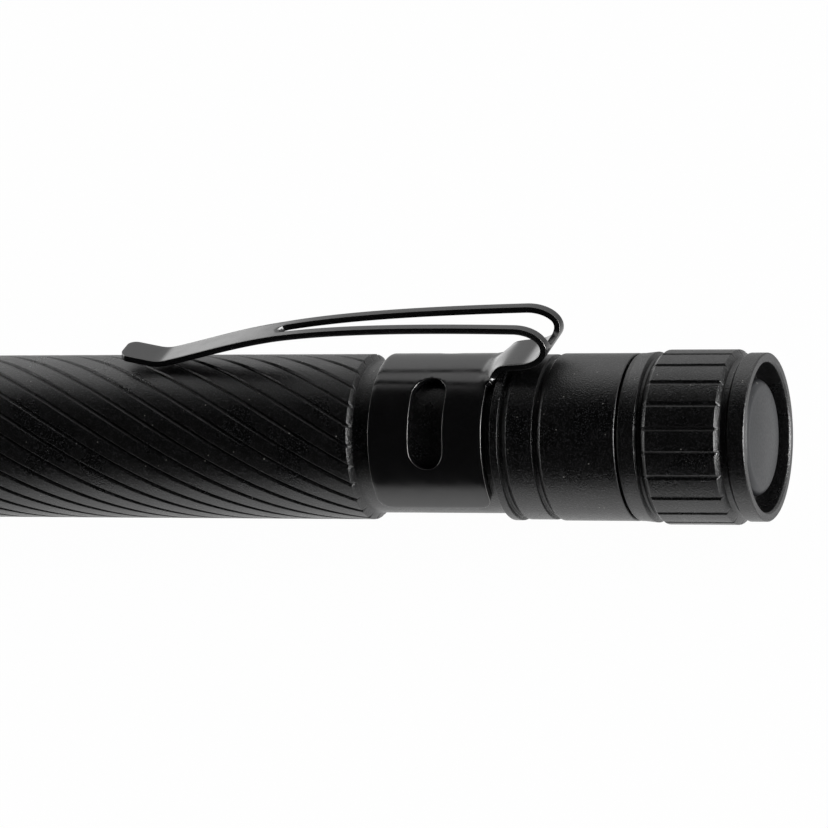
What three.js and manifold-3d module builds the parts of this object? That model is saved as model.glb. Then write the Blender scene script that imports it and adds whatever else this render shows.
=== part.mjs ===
// Slim two-cell penlight with a spiral-grooved barrel and a deep pocket clip, in millimetres.
// Inside the assembly x runs along the axis from the tail face towards the head, z points up
// through the clip, and angles are taken round x from z towards y.

import * as THREE from 'three';
import Module from 'manifold-3d';
import { mergeVertices } from 'three/addons/utils/BufferGeometryUtils.js';

const wasm = await Module();
wasm.setup();

// Battery cells, two in a row
const cellRadius = 5.2;
const cellLength = 44.5;
const cellEdge = 0.5;
const cellNubRadius = 1.9;
const cellNubHeight = 0.9;
const cellClearance = 0.25;

// Walls from the cells outwards
const neckWall = 0.7;
const threadGap = 0.15;
const sealGap = 0.06;
const sealSection = 0.45;
const sealSkin = 0.48;

// Small gaps between pieces that meet
const fit = 0.05;
const slidingFit = 0.1;
const contactGap = 0.1;
const seamGap = 0.1;
const seamChamfer = 0.15;

// Tail cap, outside
const tailChamfer = 0.3;
const tailRimChamfer = 0.2;
const tailRimWall = 0.8;
const tailRingLength = 1.45;
const tailGrooveDepth = 0.35;
const tailGrooveWall = 0.28;
const tailGrooveWidth = 0.75;
const gripRise = 0.28;
const gripLength = 6.1;
const gripTailBevel = 0.38;
const gripFrontBevel = 0.66;
const gripGrooves = 22;
const gripGrooveWidth = 0.3;
const gripGrooveDepth = 0.22;
const gripGroovePhase = 9.3;
const capGrooveDepth = 0.25;
const capGrooveFloor = 0.2;
const capGrooveWall = 0.2;
const collarRise = 0.12;
const collarTaper = 1.15;
const capMouth = 0.51;

// Tail cap, inside
const trenchDepth = 2.3;
const webThickness = 0.8;
const switchStep = 0.25;
const glandInset = 0.55;
const glandWidth = 0.6;

// Rubber boot
const bootRadius = 5.0;
const bootClearance = 0.15;
const bootRecess = 0.25;
const bootRoof = 1.1;
const bootWall = 0.9;
const bootFlange = 0.8;
const bootCrown = 0.9;

// Switch
const switchFlange = 1.0;
const switchBodyRadius = 4.5;
const switchBodyLength = 4.6;
const switchFloor = 0.6;
const switchLip = 0.8;
const switchBoardThickness = 0.8;
const plungerRadius = 1.8;
const plungerCollarRise = 0.65;
const plungerCollarLength = 1.1;
const plungerGap = 0.2;
const plungerSpringWire = 0.2;
const plungerSpringTurns = 4;
const retainerLength = 1.6;
const retainerNotchWidth = 1.4;
const retainerNotchDepth = 0.7;
const neckClearance = 0.25;

// Battery spring in the tail
const springRoom = 3.0;
const tailSpringWire = 0.3;
const tailSpringBase = 3.4;
const tailSpringTip = 1.9;
const tailSpringTurns = 3.5;

// Barrel between the cap and the spiral grooves
const plainBand = 6.62;
const ringGrooveWidth = 0.8;
const ringGrooveDepth = 0.37;
const landLength = 2.3;
const landDrop = 0.08;
const flangeLength = 0.68;
const seatLength = 12.74;
const seatDepth = 0.6;
const seatChamfer = 0.35;

// Spiral grooves
const spiralStarts = 25;
const spiralLead = 77.4;
const spiralGrooveWidth = 0.5;
const spiralGrooveDepth = 0.22;
const spiralPhase = 12.6;
const spiralSteps = 14;

// Barrel in front of the spiral grooves
const frontCollar = 3.2;
const frontGrooveDepth = 0.35;
const frontGrooveFloor = 0.45;
const headEngagement = 6.2;

// Pocket clip
const clipSheet = 0.55;
const clipGap = 0.1;
const bandInset = 0.75;
const bandLength = 10.32;
const bandHalfWrap = 122;
const bandLift = 0.45;
const bandLiftLength = 3.2;
const bandLiftInner = 20;
const bandLiftOuter = 48;
const bandCornerRadius = 1.3;
const windowAngle = 52.75;
const windowLength = 7.9;
const windowWidth = 3.25;
const tabGap = 0.155;
const tabHalfWidth = 2.3;
const tabReach = 2.75;
const tabFlat = 1.1;
const tabRiseShare = 0.7;
const tabRootShare = 0.8;
const tabEdgeShare = 0.94;
const tabCrownFade = 0.45;
const bendHeight = 3.6;
const bendReach = 2.64;
const bendHalfWidth = 2.6;
const armLength = 32.9;
const armReach = 22.8;
const armEndReach = 7.7;
const armEndSlope = 0.22;
const armWidth = 0.8;
const slotLength = 22.3;
const slotFloorDrop = 0.2;
const strapHalfWidth = 1.5;
const strapGap = 0.2;
const heelLength = 1.6;
const heelDip = 0.16;
const padLength = 2.4;
const padRise = 0.52;
const padCornerRadius = 0.9;

// Driver and lamp
const contactHeight = 1.2;
const contactRadius = 2.0;
const contactTipRadius = 1.6;
const contactEdge = 0.4;
const driverThickness = 1.0;
const pillLength = 6.2;
const pillShelf = 2.4;
const pillRecessWall = 1.0;
const leadOffset = 4.3;
const leadRadius = 0.4;
const leadHole = 0.7;
const leadProud = 0.3;
const chipWidth = 3.6;
const chipDepth = 3.0;
const chipHeight = 1.1;
const inductorRadius = 1.7;
const inductorHeight = 2.6;
const driverPartOffset = 2.2;
const ledBoardRadius = 5.6;
const ledBoardThickness = 1.2;
const emitterWidth = 3.4;
const emitterBase = 0.75;
const emitterDome = 1.45;
const ringThickness = 0.8;
const ringRadius = 3.4;

// Optics and bezel
const reflectorDepth = 9.0;
const reflectorOpening = 2.3;
const reflectorRim = 0.3;
const reflectorFlange = 1.0;
const reflectorRearWall = 1.1;
const reflectorFrontWall = 0.35;
const gasketThickness = 0.7;
const gasketWidth = 0.7;
const lensThickness = 1.8;
const lipThickness = 1.2;
const lipOverlap = 0.8;
const lipFlare = 0.5;
const bezelLength = 9.0;
const bezelWall = 0.75;
const bezelCornerRise = 0.52;
const bezelFlats = 6;
const bezelChamfer = 0.4;
const frontNeckWall = 0.5;

// Head
const coolingGrooves = 4;
const coolingStart = 5.5;
const coolingPitch = 2.6;

// Facets
const capSides = 44;
const tubeSides = 36;
const boreSides = 28;
const headSides = 28;
const smallSides = 20;
const rodSides = 12;
const sealSides = 28;
const sealCorners = 6;
const arcSteps = 3;
const crownSteps = 6;
const domeSteps = 6;
const bowlSteps = 7;
const coilSteps = 8;
const wireSegments = 3;
const outlineSegments = 6;
const bandSteps = 28;
const liftSteps = 3;
const bendSteps = 12;
const armSteps = 11;
const heelSteps = 4;
const padSteps = 4;

// Radii that follow from the walls
const boreRadius = cellRadius + cellClearance;
const neckRadius = boreRadius + neckWall;
const capBore = neckRadius + threadGap;
const sealInner = neckRadius + sealGap;
const sealOuter = sealInner + sealSection;
const glandRadius = sealOuter + sealGap;
const tubeRadius = glandRadius + sealSkin;
const seatRadius = tubeRadius - seatDepth;
const landRadius = tubeRadius - landDrop;
const gripRadius = tubeRadius + gripRise;
const trenchRadius = tubeRadius - tailRimWall;
const switchCavity = capBore - switchStep;
const flangeRadius = switchCavity - slidingFit;
const bezelBore = gripRadius - bezelWall;
const frontNeckRadius = bezelBore - slidingFit;
const cavityRadius = frontNeckRadius - frontNeckWall;
const reflectorRadius = cavityRadius - slidingFit;
const lensRadius = bezelBore - slidingFit;

// Places along the axis, from the tail face towards the head
const tailGrooveEnd = tailRingLength + tailGrooveWidth;
const gripStart = tailGrooveEnd + gripTailBevel;
const gripEnd = gripStart + gripLength;
const capGroove = gripEnd + gripFrontBevel;
const collarStart = capGroove + capGrooveFloor + capGrooveWall;
const collarEnd = collarStart + collarTaper;
const capLength = collarEnd + capMouth;
const bootSeat = trenchDepth + webThickness;
const bootFlangeStart = bootSeat + fit;
const bootFlangeEnd = bootFlangeStart + bootFlange;
const bootInner = bootRecess + bootRoof;
const switchStart = bootFlangeEnd + fit;
const switchFlangeEnd = switchStart + switchFlange;
const retainerStart = switchFlangeEnd + fit;
const retainerEnd = retainerStart + retainerLength;
const neckEnd = retainerEnd + neckClearance;
const switchBodyEnd = switchFlangeEnd + switchBodyLength;
const switchBoardStart = switchBodyEnd + fit;
const switchBoardEnd = switchBoardStart + switchBoardThickness;
const rearCellStart = switchBoardEnd + springRoom;
const frontCellStart = rearCellStart + cellLength + contactGap;
const frontCellEnd = frontCellStart + cellLength;
const contactStart = frontCellEnd + contactGap;
const driverStart = contactStart + contactHeight;
const driverEnd = driverStart + driverThickness;
const pillStart = driverEnd + fit;
const pillEnd = pillStart + pillLength;
const ledBoardStart = pillEnd + fit;
const ledBoardEnd = ledBoardStart + ledBoardThickness;
const emitterStart = ledBoardEnd + fit;
const ringEnd = emitterStart + ringThickness;
const reflectorStart = ringEnd + fit;
const reflectorEnd = reflectorStart + reflectorDepth;
const gasketStart = reflectorEnd + fit;
const gasketEnd = gasketStart + gasketThickness;
const lensStart = gasketEnd + fit;
const lensEnd = lensStart + lensThickness;
const lipStart = lensEnd + fit;
const overallLength = lipStart + lipThickness;
const bezelRear = overallLength - bezelLength;
const tubeShoulder = capLength + seamGap;
const tubeFront = driverStart - fit;
const headSeam = tubeFront - headEngagement;
const headRear = headSeam + seamGap;
const firstGroove = tubeShoulder + plainBand;
const secondGroove = firstGroove + ringGrooveWidth + landLength;
const seatStart = secondGroove + ringGrooveWidth + flangeLength;
const seatEnd = seatStart + seatLength;
const spiralStart = seatEnd + seatChamfer;
const spiralEnd = headSeam - frontCollar;
const bandStart = seatStart + bandInset;
const bandEnd = bandStart + bandLength;

const degrees = Math.PI / 180;
const fullTurn = 2 * Math.PI;

// Geometry helpers

// Keeps positions only, joins shared corners, drops empty triangles and turns faces outwards.
function closed(geometry) {
  const bare = geometry.clone();
  bare.deleteAttribute('normal');
  bare.deleteAttribute('uv');
  const merged = mergeVertices(bare, 1e-4);
  const source = merged.index.array;
  const kept = [];
  for (let i = 0; i < source.length; i += 3) {
    const [a, b, c] = [source[i], source[i + 1], source[i + 2]];
    if (a !== b && b !== c && c !== a) {
      kept.push(a, b, c);
    }
  }
  merged.setIndex(signedVolume(merged.attributes.position, kept) < 0 ? kept.reverse() : kept);
  return merged;
}

function signedVolume(position, index) {
  const [a, b, c] = [new THREE.Vector3(), new THREE.Vector3(), new THREE.Vector3()];
  let total = 0;
  for (let i = 0; i < index.length; i += 3) {
    a.fromBufferAttribute(position, index[i]);
    b.fromBufferAttribute(position, index[i + 1]);
    c.fromBufferAttribute(position, index[i + 2]);
    total += a.dot(b.cross(c)) / 6;
  }
  return total;
}

function meshFrom(corners, index) {
  const geometry = new THREE.BufferGeometry();
  geometry.setAttribute('position', new THREE.Float32BufferAttribute(corners.flat(), 3));
  geometry.setIndex(index);
  return closed(geometry);
}

function toSolid(geometry) {
  const clean = closed(geometry);
  return new wasm.Manifold(
    new wasm.Mesh({
      numProp: 3,
      vertProperties: new Float32Array(clean.attributes.position.array),
      triVerts: new Uint32Array(clean.index.array),
    }),
  );
}

function fromSolid(solid) {
  const mesh = solid.getMesh();
  const geometry = new THREE.BufferGeometry();
  geometry.setAttribute('position', new THREE.BufferAttribute(mesh.vertProperties, 3));
  geometry.setIndex(new THREE.BufferAttribute(mesh.triVerts, 1));
  return closed(geometry);
}

function cutAll(geometry, cutters) {
  return fromSolid(cutters.reduce((solid, cutter) => solid.subtract(toSolid(cutter)), toSolid(geometry)));
}

function joinAll(geometries) {
  return fromSolid(geometries.map(toSolid).reduce((whole, piece) => whole.add(piece)));
}

// Revolves a profile of [x, radius] points round the x axis.
function turned(profile, sides) {
  const onAxis = profile[0][1] === 0;
  const loop = onAxis ? profile : [...profile, profile[0]];
  const points = loop.map(([x, radius]) => new THREE.Vector2(radius, x));
  return closed(new THREE.LatheGeometry(points, sides).rotateZ(-Math.PI / 2));
}

function disc(start, end, radius, sides) {
  return turned([[start, 0], [start, radius], [end, radius], [end, 0]], sides);
}

function washer(start, end, inner, outer, sides) {
  return turned([[start, inner], [start, outer], [end, outer], [end, inner]], sides);
}

function roundSeal(centre, inner, outer) {
  const half = (outer - inner) / 2;
  const profile = [];
  for (let i = 0; i < sealCorners; i += 1) {
    const angle = (i * fullTurn) / sealCorners;
    profile.push([centre + half * Math.cos(angle), inner + half + half * Math.sin(angle)]);
  }
  return turned(profile, sealSides);
}

// Cross rings for lofts: points of angle and radius at one place along x.
function roundRing(x, radius, sides, phase = 0) {
  const points = [];
  for (let i = 0; i < sides; i += 1) {
    points.push({ angle: phase + (i * fullTurn) / sides, radius });
  }
  return { x, points, followed: false };
}

function groovedRing(x, radius, grooves, width, depth, phase) {
  const half = width / 2 / radius;
  const points = [];
  for (let i = 0; i < grooves; i += 1) {
    const angle = phase + (i * fullTurn) / grooves;
    points.push({ angle: angle - half, radius });
    points.push({ angle, radius: radius - depth });
    points.push({ angle: angle + half, radius });
  }
  return { x, points, followed: true };
}

function flattedRing(x, apothem, cornerRadius, flats) {
  const half = Math.acos(apothem / cornerRadius);
  const arc = fullTurn / flats - 2 * half;
  const points = [];
  for (let i = 0; i < flats; i += 1) {
    const side = (i * fullTurn) / flats;
    points.push({ angle: side - half, radius: cornerRadius });
    for (let step = 0; step < arcSteps; step += 1) {
      points.push({ angle: side + half + (step * arc) / arcSteps, radius: cornerRadius });
    }
  }
  return { x, points, followed: false };
}

// Equal shares of a run, the last of them whole.
const even = (count) => Array.from({ length: count }, (_, i) => (i + 1) / count);

const turnOf = (angle) => ((angle % fullTurn) + fullTurn) % fullTurn;
const signedTurn = (angle) => turnOf(angle + Math.PI) - Math.PI;

// Joins two rings by angle, whatever their numbers of points.
function stitchByAngle(first, second, firstBase, secondBase, index) {
  const origin = first[0].angle;
  const gaps = second.map((point) => Math.abs(signedTurn(point.angle - origin)));
  const shift = gaps.indexOf(Math.min(...gaps));
  const firstAngle = (i) => (i === first.length ? fullTurn : turnOf(first[i].angle - origin));
  const secondAt = (j) => (j + shift) % second.length;
  const secondOrigin = signedTurn(second[shift].angle - origin);
  const secondStart = second[shift].angle;
  const secondAngle = (j) =>
    secondOrigin + (j === second.length ? fullTurn : turnOf(second[secondAt(j)].angle - secondStart));
  let i = 0;
  let j = 0;
  while (i < first.length || j < second.length) {
    const a = firstBase + (i % first.length);
    const b = secondBase + secondAt(j);
    if (j === second.length || (i < first.length && firstAngle(i + 1) <= secondAngle(j + 1))) {
      i += 1;
      index.push(a, firstBase + (i % first.length), b);
    } else {
      j += 1;
      index.push(a, secondBase + secondAt(j), b);
    }
  }
}

// Joins two grooved rings point by point, so that the grooves run on along their own lines.
function stitchByOrder(first, second, firstBase, secondBase, index) {
  const count = first.length;
  for (let i = 0; i < count; i += 1) {
    const next = (i + 1) % count;
    const [a, b] = [firstBase + i, firstBase + next];
    const [c, d] = [secondBase + i, secondBase + next];
    const falling = Math.abs(signedTurn(second[next].angle - first[i].angle));
    const rising = Math.abs(signedTurn(second[i].angle - first[next].angle));
    index.push(...(falling < rising ? [a, b, d, a, d, c] : [a, b, c, b, d, c]));
  }
}

// A hollow loft: the rings run forward outside and back inside, and the last meets the first.
function lofted(rings) {
  const corners = [];
  const bases = [];
  for (const ring of rings) {
    bases.push(corners.length);
    for (const { angle, radius } of ring.points) {
      corners.push([ring.x, radius * Math.sin(angle), radius * Math.cos(angle)]);
    }
  }
  const index = [];
  rings.forEach((ring, i) => {
    const after = (i + 1) % rings.length;
    const stitch = ring.followed && rings[after].followed ? stitchByOrder : stitchByAngle;
    stitch(ring.points, rings[after].points, bases[i], bases[after], index);
  });
  return meshFrom(corners, index);
}

// A bent sheet: rows of point pairs, one on each face of the sheet.
function bentSheet(rows) {
  const across = rows[0].length;
  const corners = rows.flat().map((pair) => pair.top).concat(rows.flat().map((pair) => pair.under));
  const top = (i, j) => i * across + j;
  const under = (i, j) => rows.length * across + top(i, j);
  const index = [];
  const quad = (a, b, c, d) => index.push(a, b, c, a, c, d);
  for (let i = 0; i + 1 < rows.length; i += 1) {
    for (let j = 0; j + 1 < across; j += 1) {
      quad(top(i, j), top(i, j + 1), top(i + 1, j + 1), top(i + 1, j));
      quad(under(i, j), under(i + 1, j), under(i + 1, j + 1), under(i, j + 1));
    }
    quad(top(i, 0), top(i + 1, 0), under(i + 1, 0), under(i, 0));
    quad(top(i, across - 1), under(i, across - 1), under(i + 1, across - 1), top(i + 1, across - 1));
  }
  const last = rows.length - 1;
  for (let j = 0; j + 1 < across; j += 1) {
    quad(top(0, j), under(0, j), under(0, j + 1), top(0, j + 1));
    quad(top(last, j), top(last, j + 1), under(last, j + 1), under(last, j));
  }
  return meshFrom(corners, index);
}

// A coil that starts and ends on one side, with its radius running from base to tip.
class Coil extends THREE.Curve {
  constructor(start, end, base, tip, turns) {
    super();
    Object.assign(this, { start, end, base, tip, turns });
  }

  getPoint(t, target = new THREE.Vector3()) {
    const angle = fullTurn * this.turns * t;
    const radius = THREE.MathUtils.lerp(this.base, this.tip, t);
    const x = THREE.MathUtils.lerp(this.start, this.end, t);
    return target.set(x, radius * Math.sin(angle), radius * Math.cos(angle));
  }
}

function spring(start, end, base, tip, turns, wire) {
  const section = new THREE.Shape().absarc(0, 0, wire, 0, fullTurn, false);
  const path = new Coil(start + wire, end - wire, base, tip, turns);
  const steps = Math.round(turns * coilSteps);
  return new THREE.ExtrudeGeometry(section, { steps, curveSegments: wireSegments, extrudePath: path });
}

function box(start, end, width, height, y, z) {
  return new THREE.BoxGeometry(end - start, width, height).translate((start + end) / 2, y, z);
}

function rod(start, end, radius, y, z) {
  return disc(start, end, radius, rodSides).translate(0, y, z);
}

// A flat outline in the x-y plane raised along z from floor to ceiling.
function raised(shape, floor, ceiling) {
  const options = { depth: ceiling - floor, bevelEnabled: false, curveSegments: outlineSegments };
  return new THREE.ExtrudeGeometry(shape, options).translate(0, 0, floor);
}

// V groove points round a turned surface.
function ringGroove(start, floorRadius, before, after) {
  return [[start, before], [start + ringGrooveWidth / 2, floorRadius], [start + ringGrooveWidth, after]];
}

// Tail cap

function tailcapGeometry() {
  const phase = gripGroovePhase * degrees;
  const grip = (x) => groovedRing(x, gripRadius, gripGrooves, gripGrooveWidth, gripGrooveDepth, phase);
  const plain = ([x, radius]) => roundRing(x, radius, capSides, phase);
  const bored = ([x, radius]) => roundRing(x, radius, boreSides, phase);
  const tailGrooveRadius = tubeRadius - tailGrooveDepth;
  const capGrooveRadius = tubeRadius - capGrooveDepth;
  const glandEnd = capLength - glandInset;
  const glandStart = glandEnd - glandWidth;
  const tailEnd = [
    [0, trenchRadius + tailRimChamfer],
    [0, tubeRadius - tailChamfer],
    [tailChamfer, tubeRadius],
    [tailRingLength, tubeRadius],
    [tailRingLength + tailGrooveWall, tailGrooveRadius],
    [tailGrooveEnd, tailGrooveRadius],
  ];
  const mouth = [
    [capGroove, capGrooveRadius],
    [capGroove + capGrooveFloor, capGrooveRadius],
    [collarStart, tubeRadius + collarRise],
    [collarEnd, tubeRadius],
    [capLength - seamChamfer, tubeRadius],
    [capLength, tubeRadius - seamChamfer],
  ];
  const inside = [
    [capLength, capBore],
    [glandEnd, capBore],
    [glandEnd, glandRadius],
    [glandStart, glandRadius],
    [glandStart, capBore],
    [switchFlangeEnd, capBore],
    [switchFlangeEnd, switchCavity],
    [bootSeat, switchCavity],
    [bootSeat, bootRadius + bootClearance],
    [trenchDepth, bootRadius + bootClearance],
    [trenchDepth, trenchRadius],
    [tailRimChamfer, trenchRadius],
  ];
  return lofted([
    ...tailEnd.map(plain),
    grip(gripStart),
    grip(gripEnd),
    ...mouth.map(plain),
    ...inside.map(bored),
  ]);
}

function tailSealGeometry() {
  return roundSeal(capLength - glandInset - glandWidth / 2, sealInner, sealOuter);
}

// Switch in the tail cap

function bootGeometry() {
  const crown = [];
  for (let i = 0; i <= crownSteps; i += 1) {
    const angle = (i * Math.PI) / 2 / crownSteps;
    const radius = bootRadius * Math.sin(angle);
    crown.push([bootRecess + bootCrown * (1 - Math.cos(angle)), i === 0 ? 0 : radius]);
  }
  const innerRadius = bootRadius - bootWall;
  return turned(
    [
      ...crown,
      [bootFlangeStart, bootRadius],
      [bootFlangeStart, flangeRadius],
      [bootFlangeEnd, flangeRadius],
      [bootFlangeEnd, innerRadius],
      [bootInner + bootCrown / 2, innerRadius],
      [bootInner, innerRadius - bootCrown],
      [bootInner, 0],
    ],
    smallSides,
  );
}

const plungerBore = plungerRadius + plungerCollarRise + plungerGap;
const plungerStart = bootInner + fit;
const plungerCollar = switchStart + switchLip + fit;
const plungerEnd = plungerCollar + plungerCollarLength;
const switchBoreEnd = switchBodyEnd - switchFloor;

function switchBodyGeometry() {
  return turned(
    [
      [switchBoreEnd, 0],
      [switchBoreEnd, plungerBore],
      [switchStart + switchLip, plungerBore],
      [switchStart + switchLip, plungerRadius + plungerGap],
      [switchStart, plungerRadius + plungerGap],
      [switchStart, flangeRadius],
      [switchFlangeEnd, flangeRadius],
      [switchFlangeEnd, switchBodyRadius],
      [switchBodyEnd, switchBodyRadius],
      [switchBodyEnd, 0],
    ],
    smallSides,
  );
}

function plungerGeometry() {
  const collarRadius = plungerRadius + plungerCollarRise;
  return turned(
    [
      [plungerStart, 0],
      [plungerStart, plungerRadius],
      [plungerCollar, plungerRadius],
      [plungerCollar, collarRadius],
      [plungerEnd, collarRadius],
      [plungerEnd, 0],
    ],
    smallSides,
  );
}

function plungerSpringGeometry() {
  const radius = plungerRadius + plungerCollarRise - plungerSpringWire;
  return spring(plungerEnd + fit, switchBoreEnd - fit, radius, radius, plungerSpringTurns, plungerSpringWire);
}

function retainerGeometry() {
  const inner = switchBodyRadius + plungerGap;
  const outer = capBore - slidingFit;
  const ring = washer(retainerStart, retainerEnd, inner, outer, headSides);
  const notchStart = retainerEnd - retainerNotchDepth;
  const notch = box(notchStart, retainerEnd + fit, 2 * (outer + fit), retainerNotchWidth, 0, 0);
  return cutAll(ring, [notch]);
}

function tailSpringGeometry() {
  const start = switchBoardEnd + fit;
  const end = rearCellStart - contactGap;
  return spring(start, end, tailSpringBase, tailSpringTip, tailSpringTurns, tailSpringWire);
}

// Battery cells, nub towards the head
function cellGeometry(start) {
  const shoulder = start + cellLength - cellNubHeight;
  return turned(
    [
      [start, 0],
      [start, cellRadius - cellEdge],
      [start + cellEdge, cellRadius],
      [shoulder - cellEdge, cellRadius],
      [shoulder, cellRadius - cellEdge],
      [shoulder, cellNubRadius],
      [start + cellLength, cellNubRadius],
      [start + cellLength, 0],
    ],
    smallSides,
  );
}

// Barrel

// The spiral turns back against the angle as it runs towards the head, a right-hand helix.
function spiralRings() {
  const lean = Math.atan((fullTurn * tubeRadius) / spiralLead);
  const width = spiralGrooveWidth / Math.cos(lean);
  const rings = [];
  for (let i = 0; i <= spiralSteps; i += 1) {
    const x = THREE.MathUtils.lerp(spiralStart, spiralEnd, i / spiralSteps);
    const phase = spiralPhase * degrees - (fullTurn * (x - spiralStart)) / spiralLead;
    rings.push(groovedRing(x, tubeRadius, spiralStarts, width, spiralGrooveDepth, phase));
  }
  return rings;
}

function tubeGeometry() {
  const plain = ([x, radius]) => roundRing(x, radius, tubeSides);
  const tail = [
    [neckEnd, neckRadius],
    [tubeShoulder, neckRadius],
    [tubeShoulder, tubeRadius - seamChamfer],
    [tubeShoulder + seamChamfer, tubeRadius],
    ...ringGroove(firstGroove, tubeRadius - ringGrooveDepth, tubeRadius, landRadius),
    ...ringGroove(secondGroove, tubeRadius - ringGrooveDepth, landRadius, tubeRadius),
    [seatStart, tubeRadius],
    [seatStart, seatRadius],
    [seatEnd, seatRadius],
  ];
  const frontGroove = spiralEnd + frontGrooveDepth;
  const frontGrooveEnd = frontGroove + frontGrooveFloor;
  const head = [
    [frontGroove, tubeRadius - frontGrooveDepth],
    [frontGrooveEnd, tubeRadius - frontGrooveDepth],
    [frontGrooveEnd + frontGrooveDepth, tubeRadius],
    [headSeam - seamChamfer, tubeRadius],
    [headSeam, tubeRadius - seamChamfer],
    [headSeam, neckRadius],
    [tubeFront, neckRadius],
  ];
  const bore = [tubeFront, neckEnd].map((x) => roundRing(x, boreRadius, boreSides));
  return lofted([...tail.map(plain), ...spiralRings(), ...head.map(plain), ...bore]);
}

// Pocket clip

const bandInner = seatRadius + clipGap;
const bandMid = bandInner + clipSheet / 2;
const tabMid = tubeRadius + tabGap + clipSheet / 2;
const bendCentre = bandStart - tabReach;
const bendTop = tabMid + bendHeight;
const heelHeight = tubeRadius + strapGap + clipSheet / 2;

// How far the band stands off its seat near the tab, where the sheet rises to clear the flange.
function liftAt(x, angle) {
  const alongShare = 1 - THREE.MathUtils.smoothstep(x, bandStart, bandStart + bandLiftLength);
  const offset = Math.abs(angle) / degrees;
  return bandLift * alongShare * (1 - THREE.MathUtils.smoothstep(offset, bandLiftInner, bandLiftOuter));
}

function bandSheet() {
  const lifted = [0, ...even(liftSteps)].map((share) => bandStart + share * bandLiftLength);
  return bentSheet(
    [...lifted, bandEnd].map((x) => {
      const row = [];
      for (let i = 0; i <= bandSteps; i += 1) {
        const angle = THREE.MathUtils.lerp(-bandHalfWrap, bandHalfWrap, i / bandSteps) * degrees;
        const mid = bandMid + liftAt(x, angle);
        const at = (radius) => [x, radius * Math.sin(angle), radius * Math.cos(angle)];
        row.push({ top: at(mid + clipSheet / 2), under: at(mid - clipSheet / 2) });
      }
      return row;
    }),
  );
}

// Stations of the strap from the band to the tip: place, height, tangent, half width, crown and sheet.
// At its root the sheet is thinner, so that it starts inside the band.
function tabStations() {
  const root = bandMid + liftAt(bandStart, 0);
  const inside = bandStart + clipSheet;
  const riseEnd = bendCentre + tabFlat;
  const riseMid = (bandStart + riseEnd) / 2;
  const riseHeight = THREE.MathUtils.lerp(root, tabMid, tabRiseShare);
  const slope = (tabMid - root) / (bandStart - riseEnd);
  const station = (x, z, dz, sheet) => ({ x, z, dx: -1, dz, half: tabHalfWidth, crown: 1, sheet });
  return [
    station(inside, bandMid + liftAt(inside, 0), 0, tabRootShare),
    station(bandStart, root, slope, tabEdgeShare),
    station(riseMid, riseHeight, slope, 1),
    station(riseEnd, tabMid, 0, 1),
  ];
}

function bendStations() {
  const middle = tabMid + bendHeight / 2;
  const quarter = Math.PI / 2;
  const [start, end] = [-quarter, -3 * quarter];
  const bend = new THREE.EllipseCurve(bendCentre, middle, bendReach, bendHeight / 2, start, end, true);
  return [0, ...even(bendSteps)].map((share) => {
    const point = bend.getPoint(share);
    const tangent = bend.getTangent(share);
    const half = THREE.MathUtils.lerp(tabHalfWidth, bendHalfWidth, Math.min(1, 2 * share));
    const crown = 1 - THREE.MathUtils.smoothstep(share, 0, tabCrownFade);
    return { x: point.x, z: point.y, dx: tangent.x, dz: tangent.y, half, crown, sheet: 1 };
  });
}

function armStations() {
  const armEnd = new THREE.Vector2(bendCentre + armLength, heelHeight + heelDip);
  const arm = new THREE.CubicBezierCurve(
    new THREE.Vector2(bendCentre, bendTop),
    new THREE.Vector2(bendCentre + armReach, bendTop),
    new THREE.Vector2(armEnd.x - armEndReach, armEnd.y + armEndReach * armEndSlope),
    armEnd,
  );
  const heel = new THREE.QuadraticBezierCurve(
    armEnd,
    new THREE.Vector2(armEnd.x + heelLength / 2, armEnd.y - (heelLength / 2) * armEndSlope),
    new THREE.Vector2(armEnd.x + heelLength, armEnd.y),
  );
  const padEnd = new THREE.Vector2(heel.v2.x + padLength, armEnd.y + padRise);
  const pad = new THREE.LineCurve(heel.v2, padEnd);
  const follow = (curve, shares) =>
    shares.map((share) => {
      const point = curve.getPoint(share);
      const tangent = curve.getTangent(share);
      const half = strapHalfAt(point.x) - padCornerAt(padEnd.x - point.x);
      return { x: point.x, z: point.y, dx: tangent.x, dz: tangent.y, half, crown: 0, sheet: 1 };
    });
  const cornerStart = 1 - padCornerRadius / padLength;
  const corner = even(padSteps).map((share) => Math.sin((share * Math.PI) / 2));
  const padShares = [cornerStart, ...corner.map((share) => THREE.MathUtils.lerp(cornerStart, 1, share))];
  return [...follow(arm, even(armSteps)), ...follow(heel, even(heelSteps)), ...follow(pad, padShares)];
}

// Half the strap's width, which narrows along the slot.
function strapHalfAt(x) {
  const share = THREE.MathUtils.clamp((x - bendCentre) / slotLength, 0, 1);
  return THREE.MathUtils.lerp(bendHalfWidth, strapHalfWidth, share);
}

// How far the tip's round corner draws the edge in, at a distance from the end.
function padCornerAt(left) {
  const inCorner = THREE.MathUtils.clamp(padCornerRadius - left, 0, padCornerRadius);
  return padCornerRadius - Math.sqrt(padCornerRadius ** 2 - inCorner ** 2);
}

function strapSheet() {
  const across = [-1, -0.5, 0, 0.5, 1];
  return bentSheet(
    [...tabStations(), ...bendStations(), ...armStations()].map((station) => {
      const { x, z, dx, dz, half, crown, sheet } = station;
      const size = Math.hypot(dx, dz);
      const normal = [dz / size, -dx / size];
      const depth = (sheet * clipSheet) / 2;
      return across.map((share) => {
        const y = share * half;
        const drop = crown * (z - Math.sqrt(z * z - y * y));
        const at = (offset) => [x + (offset - drop) * normal[0], y, z + (offset - drop) * normal[1]];
        return { top: at(depth), under: at(-depth) };
      });
    }),
  );
}

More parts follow.
